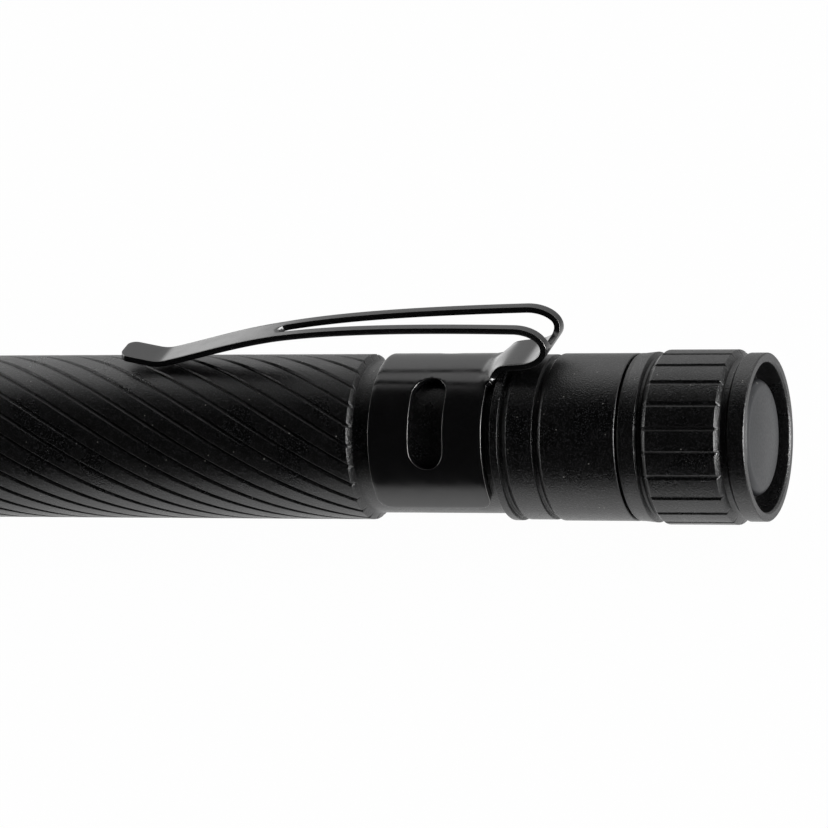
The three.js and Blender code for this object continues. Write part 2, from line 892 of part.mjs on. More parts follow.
// The long slot that parts the strap into two arms, narrowing to a round end.
function slotCutter() {
  const wide = bendHalfWidth - armWidth;
  const narrow = strapHalfWidth - armWidth;
  const open = bendCentre - bendReach - 2 * clipSheet;
  const end = bendCentre + slotLength;
  const shape = new THREE.Shape();
  shape.moveTo(open, -wide);
  shape.lineTo(bendCentre, -wide);
  shape.lineTo(end - narrow, -narrow);
  shape.absarc(end - narrow, 0, narrow, -Math.PI / 2, Math.PI / 2, false);
  shape.lineTo(bendCentre, wide);
  shape.lineTo(open, wide);
  const floor = tabMid + bendHeight / 2 - slotFloorDrop;
  return raised(shape, floor, bendTop + 2 * clipSheet);
}

// An oblong window in the band, facing out at the given angle.
function windowCutter(angle) {
  const half = windowLength / 2;
  const radius = windowWidth / 2;
  const centre = bandStart + bandLength / 2;
  const shape = new THREE.Shape();
  shape.moveTo(centre + radius, radius - half);
  shape.lineTo(centre + radius, half - radius);
  shape.absarc(centre, half - radius, radius, 0, Math.PI, false);
  shape.lineTo(centre - radius, radius - half);
  shape.absarc(centre, radius - half, radius, Math.PI, fullTurn, false);
  return raised(shape, seatRadius / 2, 2 * tubeRadius).rotateX(-angle * degrees);
}

// What rounds one corner of the band's lower edge, at the given side and edge.
function cornerCutter(side, x, inward) {
  const radius = bandCornerRadius;
  const shape = new THREE.Shape();
  shape.moveTo(x - inward * clipSheet, clipSheet);
  shape.lineTo(x - inward * clipSheet, -radius);
  shape.lineTo(x, -radius);
  shape.absarc(x + inward * radius, -radius, radius, inward > 0 ? Math.PI : 0, Math.PI / 2, inward > 0);
  shape.lineTo(x + inward * radius, clipSheet);
  const cutter = raised(shape, seatRadius / 2, 2 * tubeRadius);
  if (side < 0) {
    cutter.scale(1, -1, 1);
  }
  return cutter.rotateX(-side * bandHalfWrap * degrees);
}

function clipGeometry() {
  const cutters = [slotCutter()];
  for (const side of [-1, 1]) {
    cutters.push(windowCutter(side * windowAngle));
    cutters.push(cornerCutter(side, bandStart, 1));
    cutters.push(cornerCutter(side, bandEnd, -1));
  }
  return cutAll(joinAll([bandSheet(), strapSheet()]), cutters);
}

// Head

function headGeometry() {
  const cooling = [];
  for (let i = 0; i < coolingGrooves; i += 1) {
    const start = headRear + coolingStart + i * coolingPitch;
    cooling.push(...ringGroove(start, tubeRadius - ringGrooveDepth, tubeRadius, tubeRadius));
  }
  const glandStart = headRear + glandInset;
  const frontFace = bezelRear - fit;
  return turned(
    [
      [headRear, tubeRadius - seamChamfer],
      [headRear + seamChamfer, tubeRadius],
      ...cooling,
      [frontFace - bezelChamfer, tubeRadius],
      [frontFace, tubeRadius - bezelChamfer],
      [frontFace, frontNeckRadius],
      [reflectorEnd, frontNeckRadius],
      [reflectorEnd, cavityRadius],
      [pillEnd + fit, cavityRadius],
      [pillEnd + fit, capBore],
      [glandStart + glandWidth, capBore],
      [glandStart + glandWidth, glandRadius],
      [glandStart, glandRadius],
      [glandStart, capBore],
      [headRear, capBore],
    ],
    headSides,
  );
}

function headSealGeometry() {
  return roundSeal(headRear + glandInset + glandWidth / 2, sealInner, sealOuter);
}

function bezelGeometry() {
  const flats = (x, inset) =>
    flattedRing(x, gripRadius - inset, gripRadius + bezelCornerRise - inset, bezelFlats);
  const plain = (x, radius) => roundRing(x, radius, headSides);
  const opening = lensRadius - lipOverlap;
  return lofted([
    flats(bezelRear, bezelChamfer),
    flats(bezelRear + bezelChamfer, 0),
    flats(overallLength - 2 * bezelChamfer, 0),
    plain(overallLength, gripRadius - bezelChamfer),
    plain(overallLength, opening + lipFlare),
    plain(lipStart + lipThickness / 2, opening),
    plain(lipStart, opening),
    plain(lipStart, bezelBore),
    plain(bezelRear, bezelBore),
  ]);
}

// Lamp and driver

function contactGeometry() {
  return turned(
    [
      [contactStart, 0],
      [contactStart, contactTipRadius],
      [contactStart + contactEdge, contactRadius],
      [driverStart - fit, contactRadius],
      [driverStart - fit, 0],
    ],
    smallSides,
  );
}

function pillGeometry() {
  const radius = capBore - slidingFit;
  const recess = radius - pillRecessWall;
  const recessEnd = pillEnd - pillShelf;
  const cup = turned(
    [
      [recessEnd, 0],
      [recessEnd, recess],
      [pillStart, recess],
      [pillStart, radius],
      [pillEnd, radius],
      [pillEnd, 0],
    ],
    headSides,
  );
  return cutAll(cup, leadHoles(recessEnd - fit, pillEnd + fit));
}

function leadHoles(start, end) {
  return [-1, 1].map((side) => rod(start, end, leadHole, side * leadOffset, 0));
}

function ledBoardGeometry() {
  const board = disc(ledBoardStart, ledBoardEnd, ledBoardRadius, headSides);
  return cutAll(board, leadHoles(ledBoardStart - fit, ledBoardEnd + fit));
}

function leadGeometry(side) {
  return rod(driverEnd + fit, ledBoardEnd + leadProud, leadRadius, side * leadOffset, 0);
}

function emitterGeometry() {
  const base = box(emitterStart, emitterStart + emitterBase, emitterWidth, emitterWidth, 0, 0);
  const middle = emitterStart + emitterBase / 2;
  const top = emitterStart + emitterBase;
  const dome = [[middle, 0], [middle, emitterDome]];
  for (let i = 0; i < domeSteps; i += 1) {
    const angle = (i * Math.PI) / 2 / domeSteps;
    dome.push([top + emitterDome * Math.sin(angle), emitterDome * Math.cos(angle)]);
  }
  dome.push([top + emitterDome, 0]);
  return joinAll([base, turned(dome, smallSides)]);
}

function centringRingGeometry() {
  const half = emitterWidth / 2 + slidingFit;
  const outline = new THREE.Shape().absarc(0, 0, ringRadius, 0, fullTurn, false);
  const opening = new THREE.Path();
  opening.moveTo(-half, -half).lineTo(half, -half).lineTo(half, half).lineTo(-half, half);
  outline.holes.push(opening.closePath());
  const options = { depth: ringThickness, bevelEnabled: false, curveSegments: smallSides };
  return new THREE.ExtrudeGeometry(outline, options).rotateY(Math.PI / 2).translate(emitterStart, 0, 0);
}

function gasketGeometry() {
  return washer(gasketStart, gasketEnd, lensRadius - gasketWidth, lensRadius - fit, headSides);
}

function reflectorGeometry() {
  const frontRadius = reflectorRadius - reflectorRim;
  const growth = (frontRadius ** 2 - reflectorOpening ** 2) / reflectorDepth;
  const bowlRadius = (depth) => Math.sqrt(reflectorOpening ** 2 + growth * depth);
  const bowl = [];
  for (let i = 0; i <= bowlSteps; i += 1) {
    const depth = (i * reflectorDepth) / bowlSteps;
    bowl.push([reflectorStart + depth, bowlRadius(depth)]);
  }
  const flangeStart = reflectorDepth - reflectorFlange;
  return turned(
    [
      ...bowl,
      [reflectorEnd, reflectorRadius],
      [reflectorStart + flangeStart, reflectorRadius],
      [reflectorStart + flangeStart, bowlRadius(flangeStart) + reflectorFrontWall],
      [reflectorStart, reflectorOpening + reflectorRearWall],
    ],
    smallSides,
  );
}

function inductorGeometry() {
  return rod(driverEnd + fit, driverEnd + fit + inductorHeight, inductorRadius, 0, driverPartOffset);
}

function chipGeometry() {
  const start = driverEnd + fit;
  return box(start, start + chipHeight, chipWidth, chipDepth, 0, -driverPartOffset);
}

// Assembly

const flashlight = new THREE.Group();
flashlight.rotation.z = Math.PI;
flashlight.position.set(overallLength / 2, 0, gripRadius);

function add(name, geometry, color, roughness, metalness) {
  const material = new THREE.MeshStandardMaterial({ color, roughness, metalness });
  const mesh = new THREE.Mesh(closed(geometry), material);
  mesh.geometry.computeVertexNormals();
  mesh.name = name;
  flashlight.add(mesh);
}

const anodised = 0x1c1c1e;
const sprungSteel = 0x2a2a2c;
const rubber = 0x2b2b2d;
const blackRubber = 0x151516;
const brass = 0xb08d4a;
const steel = 0xb9bcc0;
const aluminium = 0xc9cbce;
const boardGreen = 0x1f5a3a;
const boardWhite = 0xe6e6e2;
const cellWrap = 0x3a4048;

add('bezel', bezelGeometry(), anodised, 0.5, 0.8);
add('lens', disc(lensStart, lensEnd, lensRadius, headSides), 0xdfe9ee, 0.05, 0);
add('lens_gasket', gasketGeometry(), blackRubber, 0.9, 0);
add('reflector', reflectorGeometry(), aluminium, 0.08, 1);
add('led_centring_ring', centringRingGeometry(), boardWhite, 0.6, 0);
add('led_emitter', emitterGeometry(), 0xf0dd88, 0.3, 0);
add('led_board', ledBoardGeometry(), boardWhite, 0.6, 0);
add('led_pill', pillGeometry(), brass, 0.35, 1);
add('led_lead_positive', leadGeometry(1), 0xa02020, 0.6, 0);
add('led_lead_negative', leadGeometry(-1), 0x202020, 0.6, 0);
add('driver_board', disc(driverStart, driverEnd, capBore - 2 * slidingFit, headSides), boardGreen, 0.5, 0);
add('driver_chip', chipGeometry(), 0x18181a, 0.6, 0);
add('driver_inductor', inductorGeometry(), 0x3c3c3e, 0.6, 0.2);
add('positive_contact', contactGeometry(), brass, 0.3, 1);
add('head_housing', headGeometry(), anodised, 0.5, 0.8);
add('head_seal', headSealGeometry(), blackRubber, 0.9, 0);
add('battery_tube', tubeGeometry(), anodised, 0.5, 0.8);
add('pocket_clip', clipGeometry(), sprungSteel, 0.25, 0.9);
add('battery_rear', cellGeometry(rearCellStart), cellWrap, 0.4, 0.3);
add('battery_front', cellGeometry(frontCellStart), cellWrap, 0.4, 0.3);
add('tail_seal', tailSealGeometry(), blackRubber, 0.9, 0);
add('tailcap', tailcapGeometry(), anodised, 0.5, 0.8);
add('switch_boot', bootGeometry(), rubber, 0.75, 0);
add('switch_plunger', plungerGeometry(), boardWhite, 0.5, 0);
add('plunger_spring', plungerSpringGeometry(), steel, 0.3, 1);
add('switch_body', switchBodyGeometry(), 0x202022, 0.6, 0);
add('switch_retainer', retainerGeometry(), brass, 0.35, 1);
add('switch_board', disc(switchBoardStart, switchBoardEnd, switchBodyRadius, smallSides), boardGreen, 0.5, 0);
add('tail_spring', tailSpringGeometry(), steel, 0.3, 1);

export default flashlight;
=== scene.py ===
# Slim penlight lying on a pale studio floor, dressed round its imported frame.

import math

import bmesh
import bpy
from mathutils import Matrix, Vector
from mathutils.geometry import delaunay_2d_cdt, interpolate_bezier


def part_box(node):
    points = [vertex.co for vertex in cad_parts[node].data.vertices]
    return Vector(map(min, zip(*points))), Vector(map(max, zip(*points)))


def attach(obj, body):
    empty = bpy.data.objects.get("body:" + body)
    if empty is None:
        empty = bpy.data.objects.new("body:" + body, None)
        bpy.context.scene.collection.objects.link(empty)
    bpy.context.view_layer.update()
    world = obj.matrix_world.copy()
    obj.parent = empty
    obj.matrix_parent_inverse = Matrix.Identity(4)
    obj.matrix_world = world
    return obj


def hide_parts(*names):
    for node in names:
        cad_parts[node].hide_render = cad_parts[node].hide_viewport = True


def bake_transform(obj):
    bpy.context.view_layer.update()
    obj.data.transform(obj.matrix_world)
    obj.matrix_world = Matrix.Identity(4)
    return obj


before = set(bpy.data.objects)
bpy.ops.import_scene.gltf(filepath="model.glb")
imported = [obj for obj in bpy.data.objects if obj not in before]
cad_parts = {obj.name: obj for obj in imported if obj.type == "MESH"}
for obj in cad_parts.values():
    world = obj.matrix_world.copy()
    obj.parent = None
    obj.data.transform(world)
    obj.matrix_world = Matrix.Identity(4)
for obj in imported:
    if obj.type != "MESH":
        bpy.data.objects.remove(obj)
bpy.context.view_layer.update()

# The frame: lengths below are millimetres along the axis from the tail face, and radii from the
# axis, so one function turns them into the frame's metres. Angles start at the top, towards the camera.
mm = 0.001
tube_low, tube_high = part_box("battery_tube")
axis_height = (tube_low.z + tube_high.z) / 2
tail_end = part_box("tailcap")[1].x


def place(along, radius, angle):
    """A point of the frame, from millimetres and radians."""
    side = radius * mm * math.sin(angle)
    return Vector((tail_end - along * mm, -side, axis_height + radius * mm * math.cos(angle)))


# Camera: it looks down on the tail half, lifted round the barrel's axis and turned towards the tail,
# with the barrel level in the picture and its head past the left edge.
picture_pixels = 828
focal_pixels = 5929
camera_lift = math.radians(26.0)
camera_turn = math.radians(20.53)
camera_distance = 515.2 * mm
aim_along = 32.2
aim_rise = 1.97 * mm

across_view = Vector((0, -math.cos(camera_lift), math.sin(camera_lift)))
up_view = Vector((0, math.sin(camera_lift), math.cos(camera_lift)))
right_view = Vector((math.cos(camera_turn), 0, 0)) - math.sin(camera_turn) * across_view
back_view = Vector((math.sin(camera_turn), 0, 0)) + math.cos(camera_turn) * across_view
aim = place(aim_along, 0, 0) + aim_rise * up_view
camera_place = aim + camera_distance * back_view

camera_data = bpy.data.cameras.new("camera")
camera_data.sensor_fit = "HORIZONTAL"
camera_data.lens = camera_data.sensor_width * focal_pixels / picture_pixels
camera_data.clip_start = 0.01
camera = bpy.data.objects.new("camera", camera_data)
camera.matrix_world = Matrix((
    (right_view.x, up_view.x, back_view.x, camera_place.x),
    (right_view.y, up_view.y, back_view.y, camera_place.y),
    (right_view.z, up_view.z, back_view.z, camera_place.z),
    (0, 0, 0, 1),
))
bpy.context.scene.collection.objects.link(camera)
bpy.context.scene.camera = camera
bpy.context.scene.view_settings.view_transform = "Standard"


# Studio: a white sweep behind, above and under the light, a dark room in front of it, a panel behind
# the head, a soft lamp at each end, and a pale floor that keeps a faint shadow.
def colour(value):
    """Linear colour from an sRGB hex value."""
    channels = [int(value[i:i + 2], 16) / 255 for i in (1, 3, 5)]
    linear = [c / 12.92 if c <= 0.04045 else ((c + 0.055) / 1.055) ** 2.4 for c in channels]
    return (*linear, 1.0)


def add_node(tree, kind, inputs=None, **settings):
    """Adds a node with its settings, and fills or links its inputs."""
    made = tree.nodes.new(kind)
    for name, value in settings.items():
        setattr(made, name, value)
    for name, value in (inputs or {}).items():
        if isinstance(value, bpy.types.NodeSocket):
            tree.links.new(value, made.inputs[name])
        else:
            made.inputs[name].default_value = value
    return made


sweep_white = colour("#ffffff")
# Light level by the angle above the horizon in front, over the top and down behind to the floor
sweep_levels = (
    (-180, 0.4), (-150, 0.75), (-70, 1.05), (-52, 0.9), (-43, 0.01),
    (94, 0.01), (105, 0.85), (128, 1.05), (154, 0.68), (180, 0.4),
)
back_panel_edge, back_panel_fade, back_panel_level = 0.40, 0.1, 1.7
back_panel_near, back_panel_far = 0.3, 0.5

world = bpy.data.worlds.new("studio")
world.use_nodes = True
bpy.context.scene.world = world
sky = world.node_tree
sky.nodes.clear()
direction = add_node(sky, "ShaderNodeTexCoord").outputs["Generated"]
parts = add_node(sky, "ShaderNodeSeparateXYZ", {"Vector": direction})
towards_camera = add_node(sky, "ShaderNodeMath", {0: parts.outputs["Y"], 1: -1.0}, operation="MULTIPLY")
elevation = add_node(
    sky, "ShaderNodeMath", {0: parts.outputs["Z"], 1: towards_camera.outputs[0]}, operation="ARCTAN2"
)
around = add_node(sky, "ShaderNodeMapRange", {
    "Value": elevation.outputs[0], "From Min": -math.pi, "From Max": math.pi,
})
sheets = add_node(sky, "ShaderNodeValToRGB", {"Fac": around.outputs[0]})
levels = sheets.color_ramp.elements
while len(levels) < len(sweep_levels):
    levels.new(0.5)
for stop, (angle, level) in zip(levels, sweep_levels):
    stop.position = (angle + 180) / 360
    stop.color = (level, level, level, 1)
headways = add_node(sky, "ShaderNodeMath", {0: parts.outputs["X"], 1: -1.0}, operation="MULTIPLY")
headed = add_node(sky, "ShaderNodeMapRange", {
    "Value": headways.outputs[0],
    "From Min": back_panel_edge, "From Max": back_panel_edge + back_panel_fade,
}, interpolation_type="SMOOTHSTEP")
behind = add_node(sky, "ShaderNodeMapRange", {
    "Value": parts.outputs["Y"],
    "From Min": back_panel_near, "From Max": back_panel_far, "To Max": back_panel_level,
}, interpolation_type="SMOOTHSTEP")
back = add_node(sky, "ShaderNodeMath", {0: headed.outputs[0], 1: behind.outputs[0]}, operation="MULTIPLY")
level = add_node(sky, "ShaderNodeMath", {0: sheets.outputs[0], 1: back.outputs[0]}, operation="MAXIMUM")
light_path = add_node(sky, "ShaderNodeLightPath")
lit = add_node(sky, "ShaderNodeBackground", {"Color": sweep_white, "Strength": level.outputs[0]})
seen = add_node(sky, "ShaderNodeBackground", {"Color": sweep_white, "Strength": 1.0})
either = add_node(sky, "ShaderNodeMixShader", {
    0: light_path.outputs["Is Camera Ray"], 1: lit.outputs[0], 2: seen.outputs[0],
})
add_node(sky, "ShaderNodeOutputWorld", {"Surface": either.outputs[0]})

lamp_size = 0.3
lamps = (
    ("tail_lamp", Vector((0.62, -0.08, 0.06)), 5.0),
    ("head_lamp", Vector((-0.62, -0.02, 0.05)), 1.3),
)
for lamp_name, lamp_place, lamp_power in lamps:
    lamp_data = bpy.data.lights.new(lamp_name, "AREA")
    lamp_data.shape = "SQUARE"
    lamp_data.size = lamp_size
    lamp_data.energy = lamp_power
    lamp = bpy.data.objects.new(lamp_name, lamp_data)
    lamp.location = lamp_place
    lamp.rotation_euler = (aim - lamp_place).to_track_quat("-Z", "Y").to_euler()
    bpy.context.scene.collection.objects.link(lamp)

# Floor: a matt white sheet. Only the camera and the soft light see it, so that the metal reflects the
# studio itself, and the shadow under the barrel stays faint.
floor_size = 3.0
floor_drop = 0.05 * mm
floor_glow = 0.985
floor_mesh = bpy.data.meshes.new("floor")
floor_turns = ((-1, -1), (1, -1), (1, 1), (-1, 1))
floor_corners = [(x * floor_size / 2, y * floor_size / 2, -floor_drop) for x, y in floor_turns]
floor_mesh.from_pydata(floor_corners, [], [(0, 1, 2, 3)])
floor = bpy.data.objects.new("floor", floor_mesh)
floor.visible_glossy = False
floor.visible_shadow = False
bpy.context.scene.collection.objects.link(floor)
paper = bpy.data.materials.new("white_paper")
paper.use_nodes = True
paper_tree = paper.node_tree
paper_tree.nodes.clear()
paper_path = add_node(paper_tree, "ShaderNodeLightPath")
sheet_white = add_node(paper_tree, "ShaderNodeBsdfDiffuse", {"Color": colour("#ececec")})
glow = add_node(paper_tree, "ShaderNodeEmission", {"Color": sweep_white, "Strength": 1.0})
keep = add_node(paper_tree, "ShaderNodeMath", {
    0: paper_path.outputs["Is Camera Ray"], 1: floor_glow,
}, operation="MULTIPLY")
both = add_node(paper_tree, "ShaderNodeMixShader", {
    0: keep.outputs[0], 1: sheet_white.outputs[0], 2: glow.outputs[0],
})
add_node(paper_tree, "ShaderNodeOutputMaterial", {"Surface": both.outputs[0]})
floor_mesh.materials.append(paper)


# Barrel: a turned aluminium tube, bead-blasted and black anodised, with spiral grooves milled along
# its grip, a sunk seat for the clip, two turned rings and a threaded neck at each end.
def rounded(outline, steps=3):
    """Rounds the corners of a closed outline of (along, radius, corner) points."""
    points = []
    margin = 0.06
    count = len(outline)
    for i in range(count):
        here = Vector(outline[i][:2])
        before = Vector(outline[i - 1][:2]) - here
        after = Vector(outline[(i + 1) % count][:2]) - here
        corner = outline[i][2]
        if corner == 0 or before.length == 0 or after.length == 0:
            points.append(here)
            continue
        half_turn = before.angle(after) / 2
        reach = min(corner / math.tan(half_turn), 0.45 * before.length, 0.45 * after.length)
        start = here + before.normalized() * reach
        end = here + after.normalized() * reach
        for step in range(steps + 1):
            t = step / steps
            points.append(start * (1 - t) ** 2 + here * 2 * t * (1 - t) + end * t ** 2)
    braced = []
    for i, point in enumerate(points):
        braced.append(point)
        run = points[(i + 1) % len(points)] - point
        if run.length > 3 * margin:
            braced.append(point + run.normalized() * margin)
            braced.append(points[(i + 1) % len(points)] - run.normalized() * margin)
    return braced


def even_angles(sides):
    """Equal angles round the axis."""
    return [2 * math.pi * i / sides for i in range(sides)]


def flute_angles(flutes, width, radius):
    """Angles round a grooved piece: close together in each groove, and at both its shoulders."""
    pitch = 2 * math.pi * radius / flutes
    shoulder = 0.03
    steps = 12
    land_steps = 4
    offsets = [width * (i / steps - 0.5) for i in range(steps + 1)]
    land_start = width / 2 + shoulder
    land = pitch - width - 2 * shoulder
    offsets += [land_start + land * i / land_steps for i in range(land_steps + 1)]
    return [(pitch * k + offset) / radius for k in range(flutes) for offset in offsets]


def turned(name, points, angles, twist=None):
    """Revolves a closed outline, each ring turned by twist(along), into one closed mesh."""
    corners = []
    for point in points:
        shift = twist(point.x) if twist else 0
        corners += [place(point.x, max(point.y, 0), angle + shift) for angle in angles]
    sides = len(angles)
    faces = []
    for i in range(len(points)):
        ring = i * sides
        after = ((i + 1) % len(points)) * sides
        if points[i].y <= 0 and points[(i + 1) % len(points)].y <= 0:
            continue
        for j in range(sides):
            k = (j + 1) % sides
            faces.append((ring + j, after + j, after + k, ring + k))
    mesh = bpy.data.meshes.new(name)
    mesh.from_pydata(corners, [], faces)
    build = bmesh.new()
    build.from_mesh(mesh)
    bmesh.ops.remove_doubles(build, verts=build.verts, dist=1e-7)
    bmesh.ops.dissolve_degenerate(build, edges=build.edges, dist=1e-8)
    bmesh.ops.recalc_face_normals(build, faces=build.faces)
    build.to_mesh(mesh)
    build.free()
    mesh.polygons.foreach_set("use_smooth", [True] * len(mesh.polygons))
    return mesh


def show(name, mesh, material):
    """Puts a mesh in the scene as a piece at the origin."""
    piece = bpy.data.objects.new(name, mesh)
    mesh.materials.clear()
    mesh.materials.append(material)
    bpy.context.scene.collection.objects.link(piece)
    return piece


def run_tree(piece, tree, values):
    """Runs a Geometry Nodes tree on a piece and keeps the result as a plain mesh."""
    modifier = piece.modifiers.new(tree.name, "NODES")
    modifier.node_group = tree
    for item in tree.interface.items_tree:
        if item.in_out == "INPUT" and item.name in values:
            modifier[item.identifier] = values[item.name]
    depsgraph = bpy.context.evaluated_depsgraph_get()
    result = bpy.data.meshes.new_from_object(piece.evaluated_get(depsgraph))
    piece.modifiers.remove(modifier)
    piece.data = result
    return piece


def new_tree(name, inputs):
    """An empty Geometry Nodes tree with a geometry in and out and the named number inputs."""
    tree = bpy.data.node_groups.new(name, "GeometryNodeTree")
    tree.interface.new_socket("Geometry", in_out="INPUT", socket_type="NodeSocketGeometry")
    for label in inputs:
        tree.interface.new_socket(label, in_out="INPUT", socket_type="NodeSocketFloat")
    tree.interface.new_socket("Material", in_out="INPUT", socket_type="NodeSocketMaterial")
    tree.interface.new_socket("Geometry", in_out="OUTPUT", socket_type="NodeSocketGeometry")
    return tree


def end_tree(tree, geometry, material):
    """Ends a tree with real geometry in one material."""
    real = add_node(tree, "GeometryNodeRealizeInstances", {"Geometry": geometry})
    painted = add_node(tree, "GeometryNodeSetMaterial", {"Geometry": real.outputs[0], "Material": material})
    add_node(tree, "NodeGroupOutput", {"Geometry": painted.outputs[0]})


def groove_cutter():
    """A tree that sinks evenly spaced grooves, straight or spiral, into a turned piece."""
    tree = new_tree("groove_cutter", (
        "Tail", "Axis Height", "Radius", "Flutes", "Phase", "Twist", "Start", "From", "To", "Width", "Depth",
    ))
    given = add_node(tree, "NodeGroupInput").outputs
    kind = "ShaderNodeMath"
    spot = add_node(tree, "GeometryNodeInputPosition").outputs[0]
    axes = add_node(tree, "ShaderNodeSeparateXYZ", {0: spot}).outputs
    along = add_node(tree, kind, {0: given["Tail"], 1: axes["X"]}, operation="SUBTRACT").outputs[0]
    rise = add_node(tree, kind, {0: axes["Z"], 1: given["Axis Height"]}, operation="SUBTRACT").outputs[0]
    side = add_node(tree, kind, {0: axes["Y"], 1: -1.0}, operation="MULTIPLY").outputs[0]
    radial = add_node(tree, "ShaderNodeCombineXYZ", {"X": side, "Y": rise}).outputs[0]
    radius = add_node(tree, "ShaderNodeVectorMath", {0: radial}, operation="LENGTH").outputs["Value"]
    # The angle from the nearest groove, as a share of the pitch
    bearing = add_node(tree, kind, {0: side, 1: rise}, operation="ARCTAN2").outputs[0]
    run = add_node(tree, kind, {0: along, 1: given["Start"]}, operation="SUBTRACT").outputs[0]
    lead = add_node(tree, kind, {
        0: run, 1: given["Twist"], 2: given["Phase"],
    }, operation="MULTIPLY_ADD").outputs[0]
    angle = add_node(tree, kind, {0: bearing, 1: lead}, operation="SUBTRACT").outputs[0]
    turns = add_node(tree, kind, {0: angle, 1: 2 * math.pi}, operation="DIVIDE").outputs[0]
    count = add_node(tree, kind, {0: turns, 1: given["Flutes"], 2: 0.5}, operation="MULTIPLY_ADD").outputs[0]
    cycle = add_node(tree, kind, {0: count}, operation="FRACT").outputs[0]
    offset = add_node(tree, kind, {0: cycle, 1: 0.5}, operation="SUBTRACT").outputs[0]
    # The groove's hollow, deepest in its middle and easing off into round lips
    girth = add_node(tree, kind, {0: given["Radius"], 1: 4 * math.pi}, operation="MULTIPLY").outputs[0]
    pitch = add_node(tree, kind, {0: girth, 1: given["Flutes"]}, operation="DIVIDE").outputs[0]
    reach = add_node(tree, kind, {0: pitch, 1: given["Width"]}, operation="DIVIDE").outputs[0]
    share = add_node(tree, kind, {0: offset, 1: reach}, operation="MULTIPLY").outputs[0]
    square = add_node(tree, kind, {0: share, 1: 2.0}, operation="POWER").outputs[0]
    hollow = add_node(tree, kind, {0: 1.0, 1: square}, operation="SUBTRACT", use_clamp=True).outputs[0]
    eased = add_node(tree, kind, {0: hollow, 1: 2.0}, operation="POWER").outputs[0]
    bite = add_node(tree, kind, {0: eased, 1: given["Depth"]}, operation="MULTIPLY").outputs[0]
    floor_at = add_node(tree, kind, {0: given["Radius"], 1: bite}, operation="SUBTRACT").outputs[0]
    sunk = add_node(tree, kind, {0: radius, 1: floor_at}, operation="MINIMUM").outputs[0]
    scale = add_node(tree, kind, {0: sunk, 1: radius}, operation="DIVIDE").outputs[0]
    side_moved = add_node(tree, kind, {0: axes["Y"], 1: scale}, operation="MULTIPLY").outputs[0]
    rise_moved = add_node(
        tree, kind, {0: rise, 1: scale, 2: given["Axis Height"]}, operation="MULTIPLY_ADD"
    ).outputs[0]
    moved = add_node(tree, "ShaderNodeCombineXYZ", {"X": axes["X"], "Y": side_moved, "Z": rise_moved})
    # Only between the two ends of the grooves
    past = add_node(tree, kind, {0: along, 1: given["From"]}, operation="GREATER_THAN").outputs[0]
    short = add_node(tree, kind, {0: along, 1: given["To"]}, operation="LESS_THAN").outputs[0]
    within = add_node(tree, kind, {0: past, 1: short}, operation="MULTIPLY").outputs[0]
    placed = add_node(tree, "GeometryNodeSetPosition", {
        "Geometry": given["Geometry"], "Selection": within, "Position": moved.outputs[0],
    })
    end_tree(tree, placed.outputs[0], given["Material"])
    return tree


groove_tree = groove_cutter()


def new_material(name):
    """A new material with its node tree, its shader and the object's own coordinates in metres."""
    material = bpy.data.materials.new(name)
    material.use_nodes = True
    tree = material.node_tree
    shader = tree.nodes["Principled BSDF"]
    where = add_node(tree, "ShaderNodeTexCoord").outputs["Object"]
    return material, tree, shader, where


def dust_specks(tree, where, cell, share):
    """Mask of fine dust: one speck in a share of the cells, whose width is given in millimetres."""
    speck = add_node(tree, "ShaderNodeTexVoronoi", {"Vector": where, "Scale": 1 / (cell * mm)})
    near = add_node(tree, "ShaderNodeMapRange", {
        "Value": speck.outputs["Distance"], "From Min": 0.2, "From Max": 0.1,
    })
    chance = add_node(tree, "ShaderNodeSeparateColor", {0: speck.outputs["Color"]})
    picked = add_node(tree, "ShaderNodeMath", {0: chance.outputs[0], 1: share}, operation="LESS_THAN")
    return add_node(tree, "ShaderNodeMath", {0: near.outputs[0], 1: picked.outputs[0]}, operation="MULTIPLY")


dust_tint = colour("#8d8c88")


def blasted_aluminium(name, ground, painted_glint, roughness, grit, depth):
    """Bead-blasted, black anodised aluminium: deep black and grainy, with a soft sheen at its edges, and
    bright flecks of base colour in the grain that are a painted glint.
    """
    material, tree, shader, where = new_material(name)
    # Real blasting leaves pits of a few hundredths of a millimetre, drawn coarser here so that they show
    grain = add_node(tree, "ShaderNodeTexNoise", {
        "Vector": where, "Scale": 1 / (grit * mm), "Detail": 1.0, "Roughness": 0.7,
    })
    cloud = add_node(tree, "ShaderNodeTexNoise", {"Vector": where, "Scale": 1 / (4 * mm), "Detail": 4.0})
    # The flecks are brighter base colour where the grain is high: a painted glint that stands in for light
    # caught by the blast pits. Only the bump below is real relief.
    painted_glint_mask = add_node(tree, "ShaderNodeMapRange", {
        "Value": grain.outputs["Fac"], "From Min": 0.5, "From Max": 0.8,
    })
    grain_and_painted_glint = add_node(tree, "ShaderNodeMix", {
        "Factor": painted_glint_mask.outputs[0], "A": colour(ground), "B": colour(painted_glint),
    }, data_type="RGBA")
    dusty = add_node(tree, "ShaderNodeMix", {
        "Factor": dust_specks(tree, where, 0.4, 0.04).outputs[0], "A": grain_and_painted_glint.outputs["Result"], "B": dust_tint,
    }, data_type="RGBA")
    rough = add_node(tree, "ShaderNodeMapRange", {
        "Value": cloud.outputs["Fac"], "From Min": 0.3, "From Max": 0.7,
        "To Min": roughness - 0.05, "To Max": roughness + 0.05,
    })
    bump = add_node(tree, "ShaderNodeBump", {
        "Height": grain.outputs["Fac"], "Distance": depth * mm,
    })
    tree.links.new(dusty.outputs["Result"], shader.inputs["Base Color"])
    tree.links.new(rough.outputs[0], shader.inputs["Roughness"])
    tree.links.new(bump.outputs[0], shader.inputs["Normal"])
    shader.inputs["IOR"].default_value = 1.6
    return material


# Its second colour is the painted glint of the grain's bright flecks.
anodised = blasted_aluminium("black_anodised_aluminium", "#020202", "#3a3a3c", 0.29, 0.13, 0.04)

